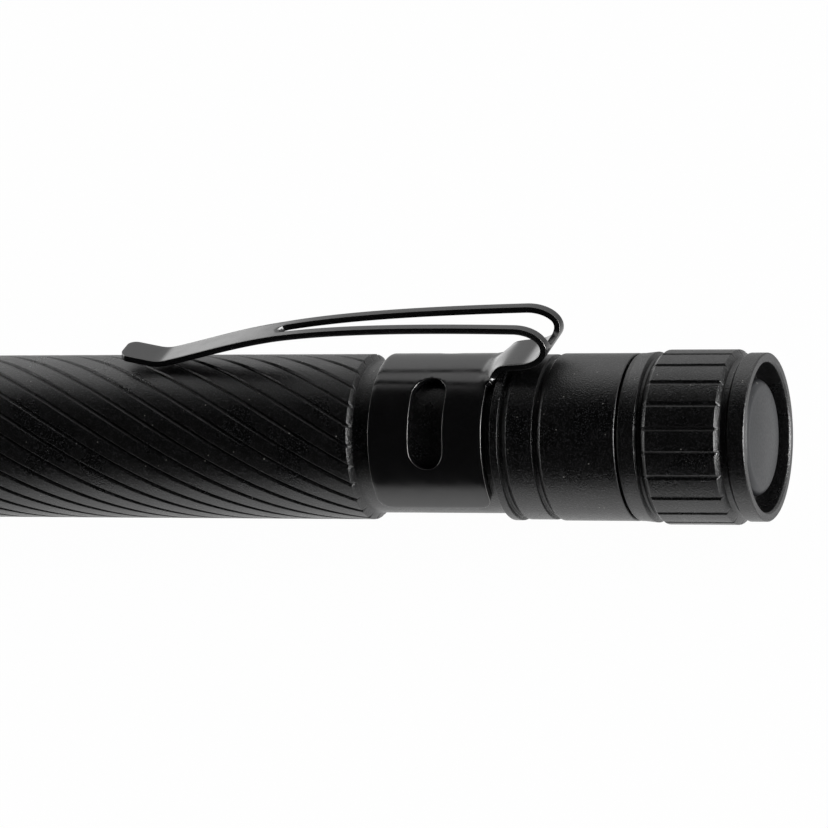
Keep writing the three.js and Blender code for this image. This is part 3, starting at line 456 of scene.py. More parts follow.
tube_radius = 7.2
neck_radius = 6.15
bore_radius = 5.45
neck_end, tube_front = 6.9, 103.8
neck_lead, mouth_round = 0.15, 0.15
tube_shoulder, head_seam = 11.5, 97.6
seam_chamfer = 0.15
tail_seam_chamfer = 0.06
ring_floor = 6.83
ring_land = 7.12
ring_starts = (18.12, 21.22)
ring_width = 0.8
ring_slope = 0.44
seat_radius = 6.6
seat_start, seat_end = 22.7, 35.44
seat_round = 0.12
spiral_start, spiral_end = 35.79, 94.4
front_floor = 6.85
front_groove = (94.75, 95.2, 95.55)
# Corner radii: a broken edge, a nearly sharp edge and the foot of a turned groove
edge, crisp, foot = 0.05, 0.02, 0.06

spiral_starts = 25
spiral_lead = 77.4
spiral_phase = math.radians(12.6)
spiral_width = 0.44
spiral_depth = 0.18
spiral_rings = 110

thread_start, thread_end = 7.2, 9.9
thread_crest = 6.27
thread_pitch = 0.8
thread_share = 0.8
thread_rings = 48
thread_runout = 0.1


def spiral_twist(along):
    """The turn of the grooves at a place along the barrel, held still outside the grip."""
    held = min(max(along, seat_end), front_groove[0])
    return spiral_phase - 2 * math.pi * (held - spiral_start) / spiral_lead


first_ring, second_ring = ring_starts
barrel_outline = [
    (neck_end, neck_radius - neck_lead, crisp),
    (thread_start - thread_runout, neck_radius, crisp),
    (thread_start, thread_crest, 0),
    (thread_end, thread_crest, 0),
    (thread_end + thread_runout, neck_radius, crisp),
    (tube_shoulder, neck_radius, edge),
    (tube_shoulder, tube_radius - tail_seam_chamfer, crisp),
    (tube_shoulder + tail_seam_chamfer, tube_radius, crisp),
    (first_ring, tube_radius, edge),
    (first_ring + ring_slope, ring_floor, foot),
    (first_ring + ring_width, ring_floor, foot),
    (first_ring + ring_width, ring_land, edge),
    (second_ring, ring_land, edge),
    (second_ring + ring_slope, ring_floor, foot),
    (second_ring + ring_width, ring_floor, foot),
    (second_ring + ring_width, tube_radius, edge),
    (seat_start, tube_radius, edge),
    (seat_start, seat_radius, seat_round),
    (seat_end, seat_radius, seat_round),
    (spiral_start, tube_radius, edge),
    (spiral_end, tube_radius, edge),
    (front_groove[0], front_floor, edge),
    (front_groove[1], front_floor, edge),
    (front_groove[2], tube_radius, edge),
    (head_seam - seam_chamfer, tube_radius, crisp),
    (head_seam, tube_radius - seam_chamfer, crisp),
    (head_seam, neck_radius, edge),
    (tube_front, neck_radius, mouth_round),
    (tube_front, bore_radius, edge),
    (neck_end, bore_radius, edge),
]


def with_rings(points, middle, rings):
    """The outline with more rings in the straight run that crosses a place along the axis."""
    i = next(k for k, p in enumerate(points) if p.x < middle < points[k + 1].x)
    added = [points[i].lerp(points[i + 1], (k + 1) / (rings + 1)) for k in range(rings)]
    return points[:i + 1] + added + points[i + 1:]


barrel_points = with_rings(rounded(barrel_outline), (spiral_start + spiral_end) / 2, spiral_rings)
barrel_points = with_rings(barrel_points, (thread_start + thread_end) / 2, thread_rings)
spiral_lean = math.atan(2 * math.pi * tube_radius / spiral_lead)
spiral_span = spiral_width / math.cos(spiral_lean)
barrel_angles = flute_angles(spiral_starts, spiral_span, tube_radius)
barrel = show("barrel", turned("barrel", barrel_points, barrel_angles, spiral_twist), anodised)
run_tree(barrel, groove_tree, {
    "Tail": tail_end, "Axis Height": axis_height, "Radius": tube_radius * mm, "Flutes": float(spiral_starts),
    "Phase": spiral_phase, "Twist": -2 * math.pi / (spiral_lead * mm), "Start": spiral_start * mm,
    "From": seat_end * mm, "To": front_groove[0] * mm, "Width": spiral_span * mm, "Depth": spiral_depth * mm,
    "Material": anodised,
})
thread_girth = 2 * math.pi * thread_crest
run_tree(barrel, groove_tree, {
    "Tail": tail_end, "Axis Height": axis_height, "Radius": thread_crest * mm, "Flutes": 1.0,
    "Phase": 0.0, "Twist": -2 * math.pi / (thread_pitch * mm), "Start": thread_start * mm,
    "From": thread_start * mm, "To": thread_end * mm, "Width": thread_share * thread_girth * mm,
    "Depth": (thread_crest - neck_radius) * mm, "Material": anodised,
})
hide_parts("battery_tube")
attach(barrel, "barrel")


# Seals: two black rubber rings of round section, pressed a little flat between the necks and the
# grooves inside the cap and the head.
seal_inner, seal_outer = 6.21, 6.66
seal_width = 0.46
tail_seal_at, head_seal_at = 10.55, 98.55
seal_steps = 20


def rubber(name, tint, roughness, dust):
    """Moulded silicone rubber: dull and soft to the eye, with a faint skin and the dust it always holds."""
    material, tree, shader, where = new_material(name)
    skin = add_node(tree, "ShaderNodeTexNoise", {"Vector": where, "Scale": 1 / (0.2 * mm), "Detail": 4.0})
    haze = add_node(tree, "ShaderNodeTexNoise", {"Vector": where, "Scale": 1 / (2.5 * mm), "Detail": 5.0})
    shade = add_node(tree, "ShaderNodeMapRange", {
        "Value": haze.outputs["Fac"], "From Min": 0.3, "From Max": 0.7, "To Min": 0.82, "To Max": 1.2,
    })
    base = add_node(tree, "ShaderNodeVectorMath", {
        0: colour(tint)[:3], "Scale": shade.outputs[0],
    }, operation="SCALE")
    dusty = add_node(tree, "ShaderNodeMix", {
        "Factor": dust_specks(tree, where, 0.6, dust).outputs[0], "A": base.outputs[0], "B": dust_tint,
    }, data_type="RGBA")
    rough = add_node(tree, "ShaderNodeMapRange", {
        "Value": skin.outputs["Fac"], "From Min": 0.3, "From Max": 0.7,
        "To Min": roughness - 0.06, "To Max": roughness + 0.06,
    })
    bump = add_node(tree, "ShaderNodeBump", {"Height": skin.outputs["Fac"], "Distance": 0.006 * mm})
    tree.links.new(dusty.outputs["Result"], shader.inputs["Base Color"])
    tree.links.new(rough.outputs[0], shader.inputs["Roughness"])
    tree.links.new(bump.outputs[0], shader.inputs["Normal"])
    shader.inputs["IOR"].default_value = 1.45
    return material


seal_rubber = rubber("black_nitrile_rubber", "#0b0b0b", 0.5, 0.05)
round_count = 160
round_sides = even_angles(round_count)


def seal_ring(name, middle):
    """A ring of oval section round the axis."""
    depth = (seal_outer - seal_inner) / 2
    section = [
        Vector((middle + seal_width / 2 * math.cos(t), (seal_inner + seal_outer) / 2 + depth * math.sin(t)))
        for t in even_angles(seal_steps)
    ]
    return show(name, turned(name, section, round_sides), seal_rubber)


tail_ring = seal_ring("tail_o_ring", tail_seal_at)
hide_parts("tail_seal")
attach(tail_ring, "seal_ring")
head_ring = seal_ring("head_o_ring", head_seal_at)
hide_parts("head_seal")
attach(head_ring, "barrel")


# Batteries: two steel cells in a shrink sleeve, nub towards the head. Their ends are bare steel, and
# the sleeve is plain, with a pale band at the nub end.
cell_length = 44.5
rear_cell_start, front_cell_start = 13.45, 58.05


def sleeved_cell(name, start):
    """Glossy printed film over a steel can: dark, then a pale band, and bare metal at both ends."""
    material, tree, shader, where = new_material(name)
    parts = add_node(tree, "ShaderNodeSeparateXYZ", {0: where})
    share = add_node(tree, "ShaderNodeMapRange", {
        "Value": parts.outputs["X"],
        "From Min": tail_end - start * mm, "From Max": tail_end - (start + cell_length) * mm,
    })
    film = add_node(tree, "ShaderNodeValToRGB", {"Fac": share.outputs[0]})
    ramp = film.color_ramp
    ramp.interpolation = "CONSTANT"
    stops = ((0.0, "#a9a7a2"), (0.012, "#2b2d30"), (0.72, "#b9b3a6"), (0.955, "#a9a7a2"))
    ramp.elements[0].color = colour(stops[0][1])
    ramp.elements[1].position = stops[1][0]
    ramp.elements[1].color = colour(stops[1][1])
    for at, tint in stops[2:]:
        ramp.elements.new(at).color = colour(tint)
    scuff = add_node(tree, "ShaderNodeTexNoise", {"Vector": where, "Scale": 1 / (1.2 * mm), "Detail": 5.0})
    rough = add_node(tree, "ShaderNodeMapRange", {
        "Value": scuff.outputs["Fac"], "From Min": 0.3, "From Max": 0.7, "To Min": 0.24, "To Max": 0.4,
    })
    tree.links.new(film.outputs["Color"], shader.inputs["Base Color"])
    tree.links.new(rough.outputs[0], shader.inputs["Roughness"])
    return material


def finish_node(name, material):
    """Gives a solid of the frame its material."""
    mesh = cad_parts[name].data
    mesh.materials.clear()
    mesh.materials.append(material)


finish_node("battery_rear", sleeved_cell("sleeved_cell_rear", rear_cell_start))
finish_node("battery_front", sleeved_cell("sleeved_cell_front", front_cell_start))


# Driver and light engine: a brass contact and heat-sink cup, two printed boards, a chip, a choke and two
# wires to the light chip. They are pressed into the head and soldered.
def grained(name, tint, roughness, grain, relief, metal=0.0):
    """One solid stuff with a fine grain, such as moulded plastic or drawn metal: even, slightly toothed."""
    material, tree, shader, where = new_material(name)
    tooth = add_node(tree, "ShaderNodeTexNoise", {"Vector": where, "Scale": 1 / (grain * mm), "Detail": 3.0})
    shade = add_node(tree, "ShaderNodeMapRange", {
        "Value": tooth.outputs["Fac"], "From Min": 0.3, "From Max": 0.7, "To Min": 0.85, "To Max": 1.15,
    })
    base = add_node(tree, "ShaderNodeVectorMath", {
        0: colour(tint)[:3], "Scale": shade.outputs[0],
    }, operation="SCALE")
    rough = add_node(tree, "ShaderNodeMapRange", {
        "Value": tooth.outputs["Fac"], "From Min": 0.3, "From Max": 0.7,
        "To Min": roughness * 0.8, "To Max": roughness * 1.2,
    })
    bump = add_node(tree, "ShaderNodeBump", {"Height": tooth.outputs["Fac"], "Distance": relief * mm})
    tree.links.new(base.outputs[0], shader.inputs["Base Color"])
    tree.links.new(rough.outputs[0], shader.inputs["Roughness"])
    tree.links.new(bump.outputs[0], shader.inputs["Normal"])
    shader.inputs["Metallic"].default_value = metal
    return material


def laminate(name, tint, weave):
    """Solder mask over woven glass board: smooth and glossy, with the weave just showing through."""
    material, tree, shader, where = new_material(name)
    strands = {"Vector": where, "Scale": 1 / (weave * 2 * math.pi * mm), "Distortion": 0.4}
    across = add_node(tree, "ShaderNodeTexWave", strands, bands_direction="Y")
    upward = add_node(tree, "ShaderNodeTexWave", strands, bands_direction="Z")
    cloth = add_node(tree, "ShaderNodeMath", {
        0: across.outputs["Fac"], 1: upward.outputs["Fac"],
    }, operation="ADD")
    shade = add_node(tree, "ShaderNodeMapRange", {
        "Value": cloth.outputs[0], "From Max": 2.0, "To Min": 0.85, "To Max": 1.1,
    })
    base = add_node(tree, "ShaderNodeVectorMath", {
        0: colour(tint)[:3], "Scale": shade.outputs[0],
    }, operation="SCALE")
    bump = add_node(tree, "ShaderNodeBump", {"Height": cloth.outputs[0], "Distance": 0.004 * mm})
    tree.links.new(base.outputs[0], shader.inputs["Base Color"])
    tree.links.new(bump.outputs[0], shader.inputs["Normal"])
    shader.inputs["Roughness"].default_value = 0.3
    return material


brass = grained("turned_brass", "#c29a52", 0.3, 0.1, 0.006, 1.0)
dark_plastic = grained("moulded_black_nylon", "#141414", 0.5, 0.12, 0.008)
green_board = laminate("green_glass_board", "#1f5a36", 0.5)
white_board = laminate("white_aluminium_board", "#dedfdc", 0.5)
engine_materials = {
    "positive_contact": brass,
    "led_pill": brass,
    "driver_board": green_board,
    "driver_chip": dark_plastic,
    "driver_inductor": grained("sintered_ferrite", "#2a2a2c", 0.6, 0.1, 0.01),
    "led_lead_positive": grained("red_wire_sleeve", "#a5231d", 0.45, 0.15, 0.004),
    "led_lead_negative": grained("black_wire_sleeve", "#161616", 0.45, 0.15, 0.004),
    "led_board": white_board,
    "led_emitter": grained("phosphor_silicone", "#d9c04a", 0.25, 0.12, 0.004),
    "led_centring_ring": grained("moulded_white_nylon", "#e4e3dd", 0.5, 0.15, 0.006),
}
for engine_piece, engine_material in engine_materials.items():
    finish_node(engine_piece, engine_material)


# Reflector: a spun cup with a bright vacuum coating, faintly pebbled to even out the beam. Its foot
# stands on the centring ring and its rim is held by the gasket.
cup_start, cup_end = 113.25, 122.25
cup_opening, cup_front, cup_rim = 2.3, 5.73, 6.03
cup_flange = 1.0
cup_rear_wall, cup_front_wall = 1.1, 0.35
pebble = 0.45


def mirror_coat(name, tint, dimple):
    """Evaporated aluminium under lacquer: a bright mirror, broken up by shallow round dimples."""
    material, tree, shader, where = new_material(name)
    pits = add_node(tree, "ShaderNodeTexVoronoi", {
        "Vector": where, "Scale": 1 / (dimple * mm),
    }, feature="SMOOTH_F1")
    bump = add_node(tree, "ShaderNodeBump", {"Height": pits.outputs["Distance"], "Distance": 0.03 * mm})
    haze = add_node(tree, "ShaderNodeMapRange", {
        "Value": pits.outputs["Distance"], "To Min": 0.06, "To Max": 0.12,
    })
    tree.links.new(bump.outputs[0], shader.inputs["Normal"])
    tree.links.new(haze.outputs[0], shader.inputs["Roughness"])
    shader.inputs["Base Color"].default_value = colour(tint)
    shader.inputs["Metallic"].default_value = 1.0
    return material


cup_growth = (cup_front ** 2 - cup_opening ** 2) / (cup_end - cup_start)


def cup_radius(depth):
    """Inside radius of the cup's parabola at a depth from its foot."""
    return math.sqrt(cup_opening ** 2 + cup_growth * depth)


cup_depth = cup_end - cup_start
cup_steps = 32
cup_outline = [Vector((cup_start + cup_depth * i / cup_steps, cup_radius(cup_depth * i / cup_steps)))
               for i in range(cup_steps + 1)]
cup_outline += [
    Vector((cup_end, cup_rim)),
    Vector((cup_end - cup_flange, cup_rim)),
    Vector((cup_end - cup_flange, cup_radius(cup_depth - cup_flange) + cup_front_wall)),
    Vector((cup_start, cup_opening + cup_rear_wall)),
]
cup_coat = mirror_coat("mirror_coat", "#e6e6e4", pebble)
cup = show("reflector_cup", turned("reflector_cup", cup_outline, round_sides), cup_coat)
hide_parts("reflector")
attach(cup, "barrel")


# Lens and gasket: a flat disc of toughened glass with ground edges, clamped by the bezel's lip against
# a flat black rubber ring.
gasket_start, gasket_end = 122.3, 123.0
gasket_inner, gasket_outer, gasket_corner = 5.93, 6.58, 0.1
lens_start, lens_end = 123.05, 124.85
lens_radius, lens_corner = 6.63, 0.15

gasket_outline = [
    (gasket_start, gasket_inner, gasket_corner),
    (gasket_start, gasket_outer, gasket_corner),
    (gasket_end, gasket_outer, gasket_corner),
    (gasket_end, gasket_inner, gasket_corner),
]
gasket_mesh = turned("lens_gasket_ring", rounded(gasket_outline), round_sides)
gasket = show("lens_gasket_ring", gasket_mesh, seal_rubber)
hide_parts("lens_gasket")
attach(gasket, "barrel")


def clear_glass(name, tint):
    """Coated float glass: clear, with a faint cool tint and a thin film of handling marks."""
    material, tree, shader, where = new_material(name)
    film = add_node(tree, "ShaderNodeTexNoise", {"Vector": where, "Scale": 1 / (3 * mm), "Detail": 5.0})
    rough = add_node(tree, "ShaderNodeMapRange", {
        "Value": film.outputs["Fac"], "From Min": 0.35, "From Max": 0.7, "To Min": 0.0, "To Max": 0.03,
    })
    tree.links.new(rough.outputs[0], shader.inputs["Roughness"])
    shader.inputs["Base Color"].default_value = colour(tint)
    shader.inputs["Transmission Weight"].default_value = 1.0
    shader.inputs["IOR"].default_value = 1.5
    return material


lens_outline = [
    (lens_start, 0, 0),
    (lens_start, lens_radius, lens_corner),
    (lens_end, lens_radius, lens_corner),
    (lens_end, 0, 0),
]
lens_mesh = turned("lens_disc", rounded(lens_outline), round_sides)
lens = show("lens_disc", lens_mesh, clear_glass("toughened_glass", "#f3f8f9"))
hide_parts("lens")
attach(lens, "barrel")


# Head: turned and anodised with the barrel, with four V grooves that shed heat. It is screwed and glued
# on the barrel's front neck, and its own front neck carries the bezel.
head_rear, head_face, head_front = 97.7, 117.05, 122.25
head_front_neck = 6.63
head_cavity, head_cavity_start = 6.13, 111.15
head_chamfer = 0.4
cooling_start, cooling_pitch, cooling_count = 103.2, 2.6, 4
cooling_width, cooling_depth = 0.8, 0.37
head_gland = (98.25, 98.85)
head_bore, head_gland_radius = 6.3, 6.72
cooling_round = 0.08

head_outline = [
    (head_rear, tube_radius - seam_chamfer, crisp),
    (head_rear + seam_chamfer, tube_radius, crisp),
]
for groove in range(cooling_count):
    groove_start = cooling_start + groove * cooling_pitch
    head_outline += [
        (groove_start, tube_radius, edge),
        (groove_start + cooling_width / 2, tube_radius - cooling_depth, cooling_round),
        (groove_start + cooling_width, tube_radius, edge),
    ]
head_outline += [
    (head_face - head_chamfer, tube_radius, edge),
    (head_face, tube_radius - head_chamfer, crisp),
    (head_face, head_front_neck, crisp),
    (head_front, head_front_neck, crisp),
    (head_front, head_cavity, crisp),
    (head_cavity_start, head_cavity, crisp),
    (head_cavity_start, head_bore, crisp),
    (head_gland[1], head_bore, crisp),
    (head_gland[1], head_gland_radius, crisp),
    (head_gland[0], head_gland_radius, crisp),
    (head_gland[0], head_bore, crisp),
    (head_rear, head_bore, crisp),
]
head = show("head", turned("head", rounded(head_outline), round_sides), anodised)
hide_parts("head_housing")
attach(head, "barrel")


# Bezel: a turned ring screwed over the head's front neck, with six flats milled on it so that the
# light can't roll, and a flared lip that holds the lens.
bezel_rear, bezel_front = 117.1, 126.1
bezel_corner, bezel_flat = 8.0, axis_height / mm
bezel_chamfer = 0.4
bezel_bore = 6.73
lip_start, lip_opening, lip_flare = 124.9, 5.83, 6.33
flat_count = 6
flat_steps = 12

bezel_outline = [
    (bezel_rear, bezel_bore, crisp),
    (bezel_rear, bezel_corner - bezel_chamfer, 0.04),
    (bezel_rear + bezel_chamfer, bezel_corner, foot),
    (bezel_front - 2 * bezel_chamfer, bezel_corner, foot),
    (bezel_front, bezel_flat - bezel_chamfer, foot),
    (bezel_front, lip_flare, foot),
    (lip_start, lip_opening, edge),
    (lip_start, bezel_bore, crisp),
]
flat_turn = 2 * math.pi / flat_count
flat_half = math.acos(bezel_flat / bezel_corner)
flat_offsets = [flat_half * i / flat_steps for i in range(-flat_steps, flat_steps + 1)]
flat_offsets += [flat_half + (flat_turn - 2 * flat_half) * i / flat_steps for i in range(1, flat_steps)]
bezel_angles = [flat_turn * k + offset for k in range(flat_count) for offset in flat_offsets]


def flatted(mesh, flats, apothem):
    """Mills flats on a turned mesh: points beyond a flat come straight down to it."""
    for vertex in mesh.vertices:
        side = -vertex.co.y
        rise = vertex.co.z - axis_height
        angle = math.atan2(side, rise)
        turn = 2 * math.pi / flats
        lean = angle - turn * round(angle / turn)
        over = math.hypot(side, rise) * math.cos(lean) / (apothem * mm)
        if over > 1:
            vertex.co.y /= over
            vertex.co.z = axis_height + rise / over
    return mesh


bezel_round = turned("bezel_ring", rounded(bezel_outline), bezel_angles)
bezel = show("bezel_ring", flatted(bezel_round, flat_count, bezel_flat), anodised)
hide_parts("bezel")
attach(bezel, "barrel")


# Pocket clip: one strip of black coated spring steel. A band with two oblong windows grips the seat,
# and a tab rises over the flange into a U bend, two arms and a strap with an upturned tip.
clip_sheet = 0.55
band_mid = 6.975
band_start, band_end = 23.45, 33.77
band_half_wrap = math.radians(122)
band_corner = 1.3
band_lift, band_lift_length = 0.15, 1.0
lift_inner, lift_outer = math.radians(18), math.radians(31)
window_angle = math.radians(53.4)
window_length, window_width, window_corner = 7.65, 3.13, 1.5
window_shift = 0.06
tab_mid = 7.84
tab_half, tab_fillet = 2.45, 0.75
bend_centre, bend_reach, bend_height, bend_half = 20.7, 2.64, 3.39, 2.6
arm_end, arm_end_height = 53.6, 7.835
arm_reach, arm_end_reach, arm_end_slope = 22.8, 7.7, 0.22
arm_width = 0.8
slot_end, slot_corner, slot_drop = 43.0, 1.1, 0.2
slot_floor = tab_mid + bend_height / 2 - slot_drop
strap_half = 1.5
heel_length, pad_length, pad_rise, pad_corner = 1.6, 2.75, 0.6, 0.9
crown_fade = 1.5
clip_edge, clip_edge_angle = 0.075, math.radians(50)
mesh_step = 0.3
rim_spacing, rim_clearance, tab_clear = 0.7, 0.6, 0.5
rise_steps, bend_steps, arm_steps, heel_steps, pad_steps = 16, 60, 120, 16, 8
strap_rings, tip_rings, slot_rings = 100, 10, 70


def smooth(value, low, high):
    """A smooth step from 0 at low to 1 at high."""
    t = min(max((value - low) / (high - low), 0), 1)
    return t * t * (3 - 2 * t)


def lift_at(along, angle):
    """How far the band stands off its seat, next to the tab."""
    share = 1 - smooth(along, band_start, band_start + band_lift_length)
    return band_lift * share * (1 - smooth(abs(angle), lift_inner, lift_outer))


# The strap's middle line as (along, height) points, from the band over the bend to the tip
tab_root = band_mid + band_lift
bend_middle = tab_mid + bend_height / 2
bend_top = tab_mid + bend_height
rise_lead, rise_lift, rise_run, rise_sag = 0.75, 0.55, 1.4, 0.1
rise = interpolate_bezier(
    Vector((band_start, tab_root)), Vector((band_start - rise_lead, tab_root + rise_lift)),
    Vector((bend_centre + rise_run, tab_mid - rise_sag)), Vector((bend_centre, tab_mid)), rise_steps,
)
bend = [
    Vector((bend_centre - bend_reach * math.sin(t), bend_middle - bend_height / 2 * math.cos(t)))
    for t in (math.pi * i / bend_steps for i in range(bend_steps + 1))
]
arm = interpolate_bezier(
    Vector((bend_centre, bend_top)), Vector((bend_centre + arm_reach, bend_top)),
    Vector((arm_end - arm_end_reach, arm_end_height + arm_end_reach * arm_end_slope)),
    Vector((arm_end, arm_end_height)), arm_steps,
)
heel_end = arm_end + heel_length
heel_low = arm_end_height - heel_length / 2 * arm_end_slope
heel = [
    Vector((arm_end, arm_end_height)) * (1 - t) ** 2
    + Vector((arm_end + heel_length / 2, heel_low)) * 2 * t * (1 - t)
    + Vector((heel_end, arm_end_height)) * t ** 2
    for t in (i / heel_steps for i in range(heel_steps + 1))
]
pad_start = Vector((heel_end, arm_end_height))
pad_end = Vector((heel_end + pad_length, arm_end_height + pad_rise))
pad = [pad_start.lerp(pad_end, i / pad_steps) for i in range(pad_steps + 1)]
strap_line = [p.to_2d() for p in rise] + bend + [p.to_2d() for p in arm[1:]] + heel[1:] + pad[1:]
strap_run = [0.0]
for first, second in zip(strap_line, strap_line[1:]):
    strap_run.append(strap_run[-1] + (second - first).length)
strap_length = strap_run[-1]
bend_from = strap_run[len(rise)]
bend_to = strap_run[len(rise) + len(bend) - 1]


def strap_at(run):
    """Middle point and direction of the strap at a distance along it from the band's edge."""
    run = min(max(run, 0), strap_length - 1e-6)
    i = next(k for k in range(len(strap_run) - 1) if strap_run[k + 1] > run)
    share = (run - strap_run[i]) / max(strap_run[i + 1] - strap_run[i], 1e-9)
    point = strap_line[i].lerp(strap_line[i + 1], share)
    before = strap_line[max(i - 1, 0)]
    after = strap_line[min(i + 2, len(strap_line) - 1)]
    return point, (after - before).normalized()


def half_at(run):
    """Half the strap's width at a distance along it."""
    if run < bend_to:
        return tab_half + (bend_half - tab_half) * smooth(run, 0, bend_from)
    point, _ = strap_at(run)
    share = min(max((point.x - bend_centre) / (slot_end - bend_centre), 0), 1)
    return bend_half + (strap_half - bend_half) * share


def bent(run, across):
    """Carries a point of the flat blank to the bent clip."""
    if run <= 0:
        angle = across / band_mid
        return place(band_start - run, band_mid + lift_at(band_start - run, angle), angle)
    point, ahead = strap_at(run)
    normal = Vector((ahead.y, -ahead.x))
    crown = 1 - smooth(run, 0, crown_fade)
    spread = 1 + (tab_root / band_mid - 1) * (1 - smooth(run, 0, bend_from))
    bow = max(crown / tab_root, 1e-4)
    side = math.sin(bow * across * spread) / bow
    drop = (1 - math.cos(bow * across * spread)) / bow
    along = point.x - drop * normal.x
    height = point.y - drop * normal.y
    return Vector((tail_end - along * mm, -side * mm, axis_height + height * mm))


def arc(centre, radius, start, end, steps=8):
    """Points of an arc in the flat blank."""
    turns = [math.radians(start + (end - start) * i / steps) for i in range(steps + 1)]
    return [Vector((centre[0] + radius * math.cos(t), centre[1] + radius * math.sin(t))) for t in turns]


def spaced(loop):
    """A closed loop with points at even short steps."""
    points = []
    for here, after in zip(loop, loop[1:] + loop[:1]):
        steps = max(1, round((after - here).length / (rim_spacing * mesh_step)))
        points += [here.lerp(after, i / steps) for i in range(steps)]
    return points


band_length = band_end - band_start
band_half = band_half_wrap * band_mid
strap_steps = [(strap_length - pad_corner) * i / strap_rings for i in range(strap_rings + 1)]
tip_turns = [math.pi / 2 * i / tip_rings for i in range(1, tip_rings + 1)]
strap_steps += [strap_length - pad_corner * (1 - math.sin(t)) for t in tip_turns]


def strap_edge(run):
    """Distance of the strap's edge from its middle, drawn in at the tip's round corners."""
    in_corner = min(max(pad_corner - (strap_length - run), 0), pad_corner)
    return half_at(run) - (pad_corner - math.sqrt(pad_corner ** 2 - in_corner ** 2))


upper_edge = [Vector((run, strap_edge(run))) for run in strap_steps if run > tab_fillet]
corner_across = band_half - band_corner
fillet_across = half_at(0) + tab_fillet
blank = (
    arc((-band_length + band_corner, corner_across), band_corner, 180, 90)
    + arc((-band_corner, corner_across), band_corner, 90, 0)
    + arc((tab_fillet, fillet_across), tab_fillet, 180, 270)
    + upper_edge
    + [Vector((p.x, -p.y)) for p in reversed(upper_edge)]
    + arc((tab_fillet, -fillet_across), tab_fillet, 90, 180)
    + arc((-band_corner, -corner_across), band_corner, 0, -90)
    + arc((-band_length + band_corner, -corner_across), band_corner, -90, -180)
)


def window_loop(side):
    """Outline of one of the band's windows, as seen square on and laid on the curve."""
    middle = window_shift - band_length / 2
    reach = window_length / 2 - window_corner
    half = window_width / 2 - window_corner
    shape = arc((middle + half, reach), window_corner, 0, 90)
    shape += arc((middle - half, reach), window_corner, 90, 180)
    shape += arc((middle - half, -reach), window_corner, 180, 270)
    shape += arc((middle + half, -reach), window_corner, 270, 360)
    return [Vector((p.x, band_mid * (side * window_angle + math.asin(p.y / band_mid)))) for p in shape]


floor_share = math.acos((bend_middle - slot_floor) / (bend_height / 2)) / math.pi
slot_from = bend_from + floor_share * (bend_to - bend_from)
slot_to = next(run for run in strap_run if run > bend_to and strap_at(run)[0].x >= slot_end)
slot_straight = slot_to - slot_from - slot_corner
slot_runs = [slot_from + slot_corner + slot_straight * i / slot_rings for i in range(slot_rings + 1)]


def slot_edge(run):
    """Half the slot's width: the strap less an arm, closing in a round end."""
    wide = half_at(run) - arm_width
    left = slot_to - run
    return math.sqrt(max(wide ** 2 - max(wide - left, 0) ** 2, 0)) if left < wide else wide


slot_side = [Vector((run, slot_edge(run))) for run in slot_runs]
slot_wide = slot_side[0].y - slot_corner
slot_loop = (
    arc((slot_from + slot_corner, slot_wide), slot_corner, 180, 90)
    + slot_side[1:]
    + [Vector((p.x, -p.y)) for p in reversed(slot_side[1:-1])]
    + arc((slot_from + slot_corner, -slot_wide), slot_corner, 270, 180)
)


def inside(point, loop):
    """True where a point lies within a closed loop."""
    hit = False
    for a, b in zip(loop, loop[1:] + loop[:1]):
        if (a.y > point.y) != (b.y > point.y):
            if point.x < a.x + (point.y - a.y) * (b.x - a.x) / (b.y - a.y):
                hit = not hit
    return hit


def clip_mesh():
    """Cuts the flat blank into small triangles and bends it into the clip's middle sheet."""
    loops = [spaced(loop) for loop in (blank, slot_loop, window_loop(1), window_loop(-1))]

    def on_sheet(point):
        """True on the blank and outside its slot and windows."""
        return inside(point, loops[0]) and not any(inside(point, loop) for loop in loops[1:])

    points, edges = [], []
    for loop in loops:
        base = len(points)
        edges += [(base + i, base + (i + 1) % len(loop)) for i in range(len(loop))]
        points += loop
    rim = [p.copy() for p in points]
    cells = {}
    for p in rim:
        cells.setdefault((round(p.x / mesh_step), round(p.y / mesh_step)), []).append(p)
    row = mesh_step * math.sqrt(3) / 2
    rows = int(2 * band_half / row)
    columns = int((band_length + strap_length) / mesh_step)
    for j in range(rows + 1):
        y = -band_half + j * row
        for i in range(columns + 1):
            p = Vector((-band_length + (i + 0.5 * (j % 2)) * mesh_step, y))
            if p.x > tab_clear and abs(p.y) > bend_half:
                continue
            near = (round(p.x / mesh_step), round(p.y / mesh_step))
            beside = [(near[0] + dx, near[1] + dy) for dx in (-1, 0, 1) for dy in (-1, 0, 1)]
            around = [q for cell in beside for q in cells.get(cell, ())]
            if any((q - p).length < rim_clearance * mesh_step for q in around):
                continue
            if on_sheet(p):
                points.append(p)
    spots, _, triangles, *_ = delaunay_2d_cdt(points, edges, [], 0, 1e-6)
    kept = []
    for triangle in triangles:
        middle = sum((spots[k] for k in triangle), Vector((0, 0))) / 3
        if on_sheet(middle):
            kept.append(tuple(triangle))
    mesh = bpy.data.meshes.new("pocket_clip")
    mesh.from_pydata([bent(p.x, p.y) for p in spots], [], kept)
    build = bmesh.new()
    build.from_mesh(mesh)
    loose = [v for v in build.verts if not v.link_faces]
    bmesh.ops.delete(build, geom=loose, context="VERTS")
    bmesh.ops.recalc_face_normals(build, faces=build.faces)
    build.to_mesh(mesh)
    build.free()
    mesh.polygons.foreach_set("use_smooth", [True] * len(mesh.polygons))
    return mesh


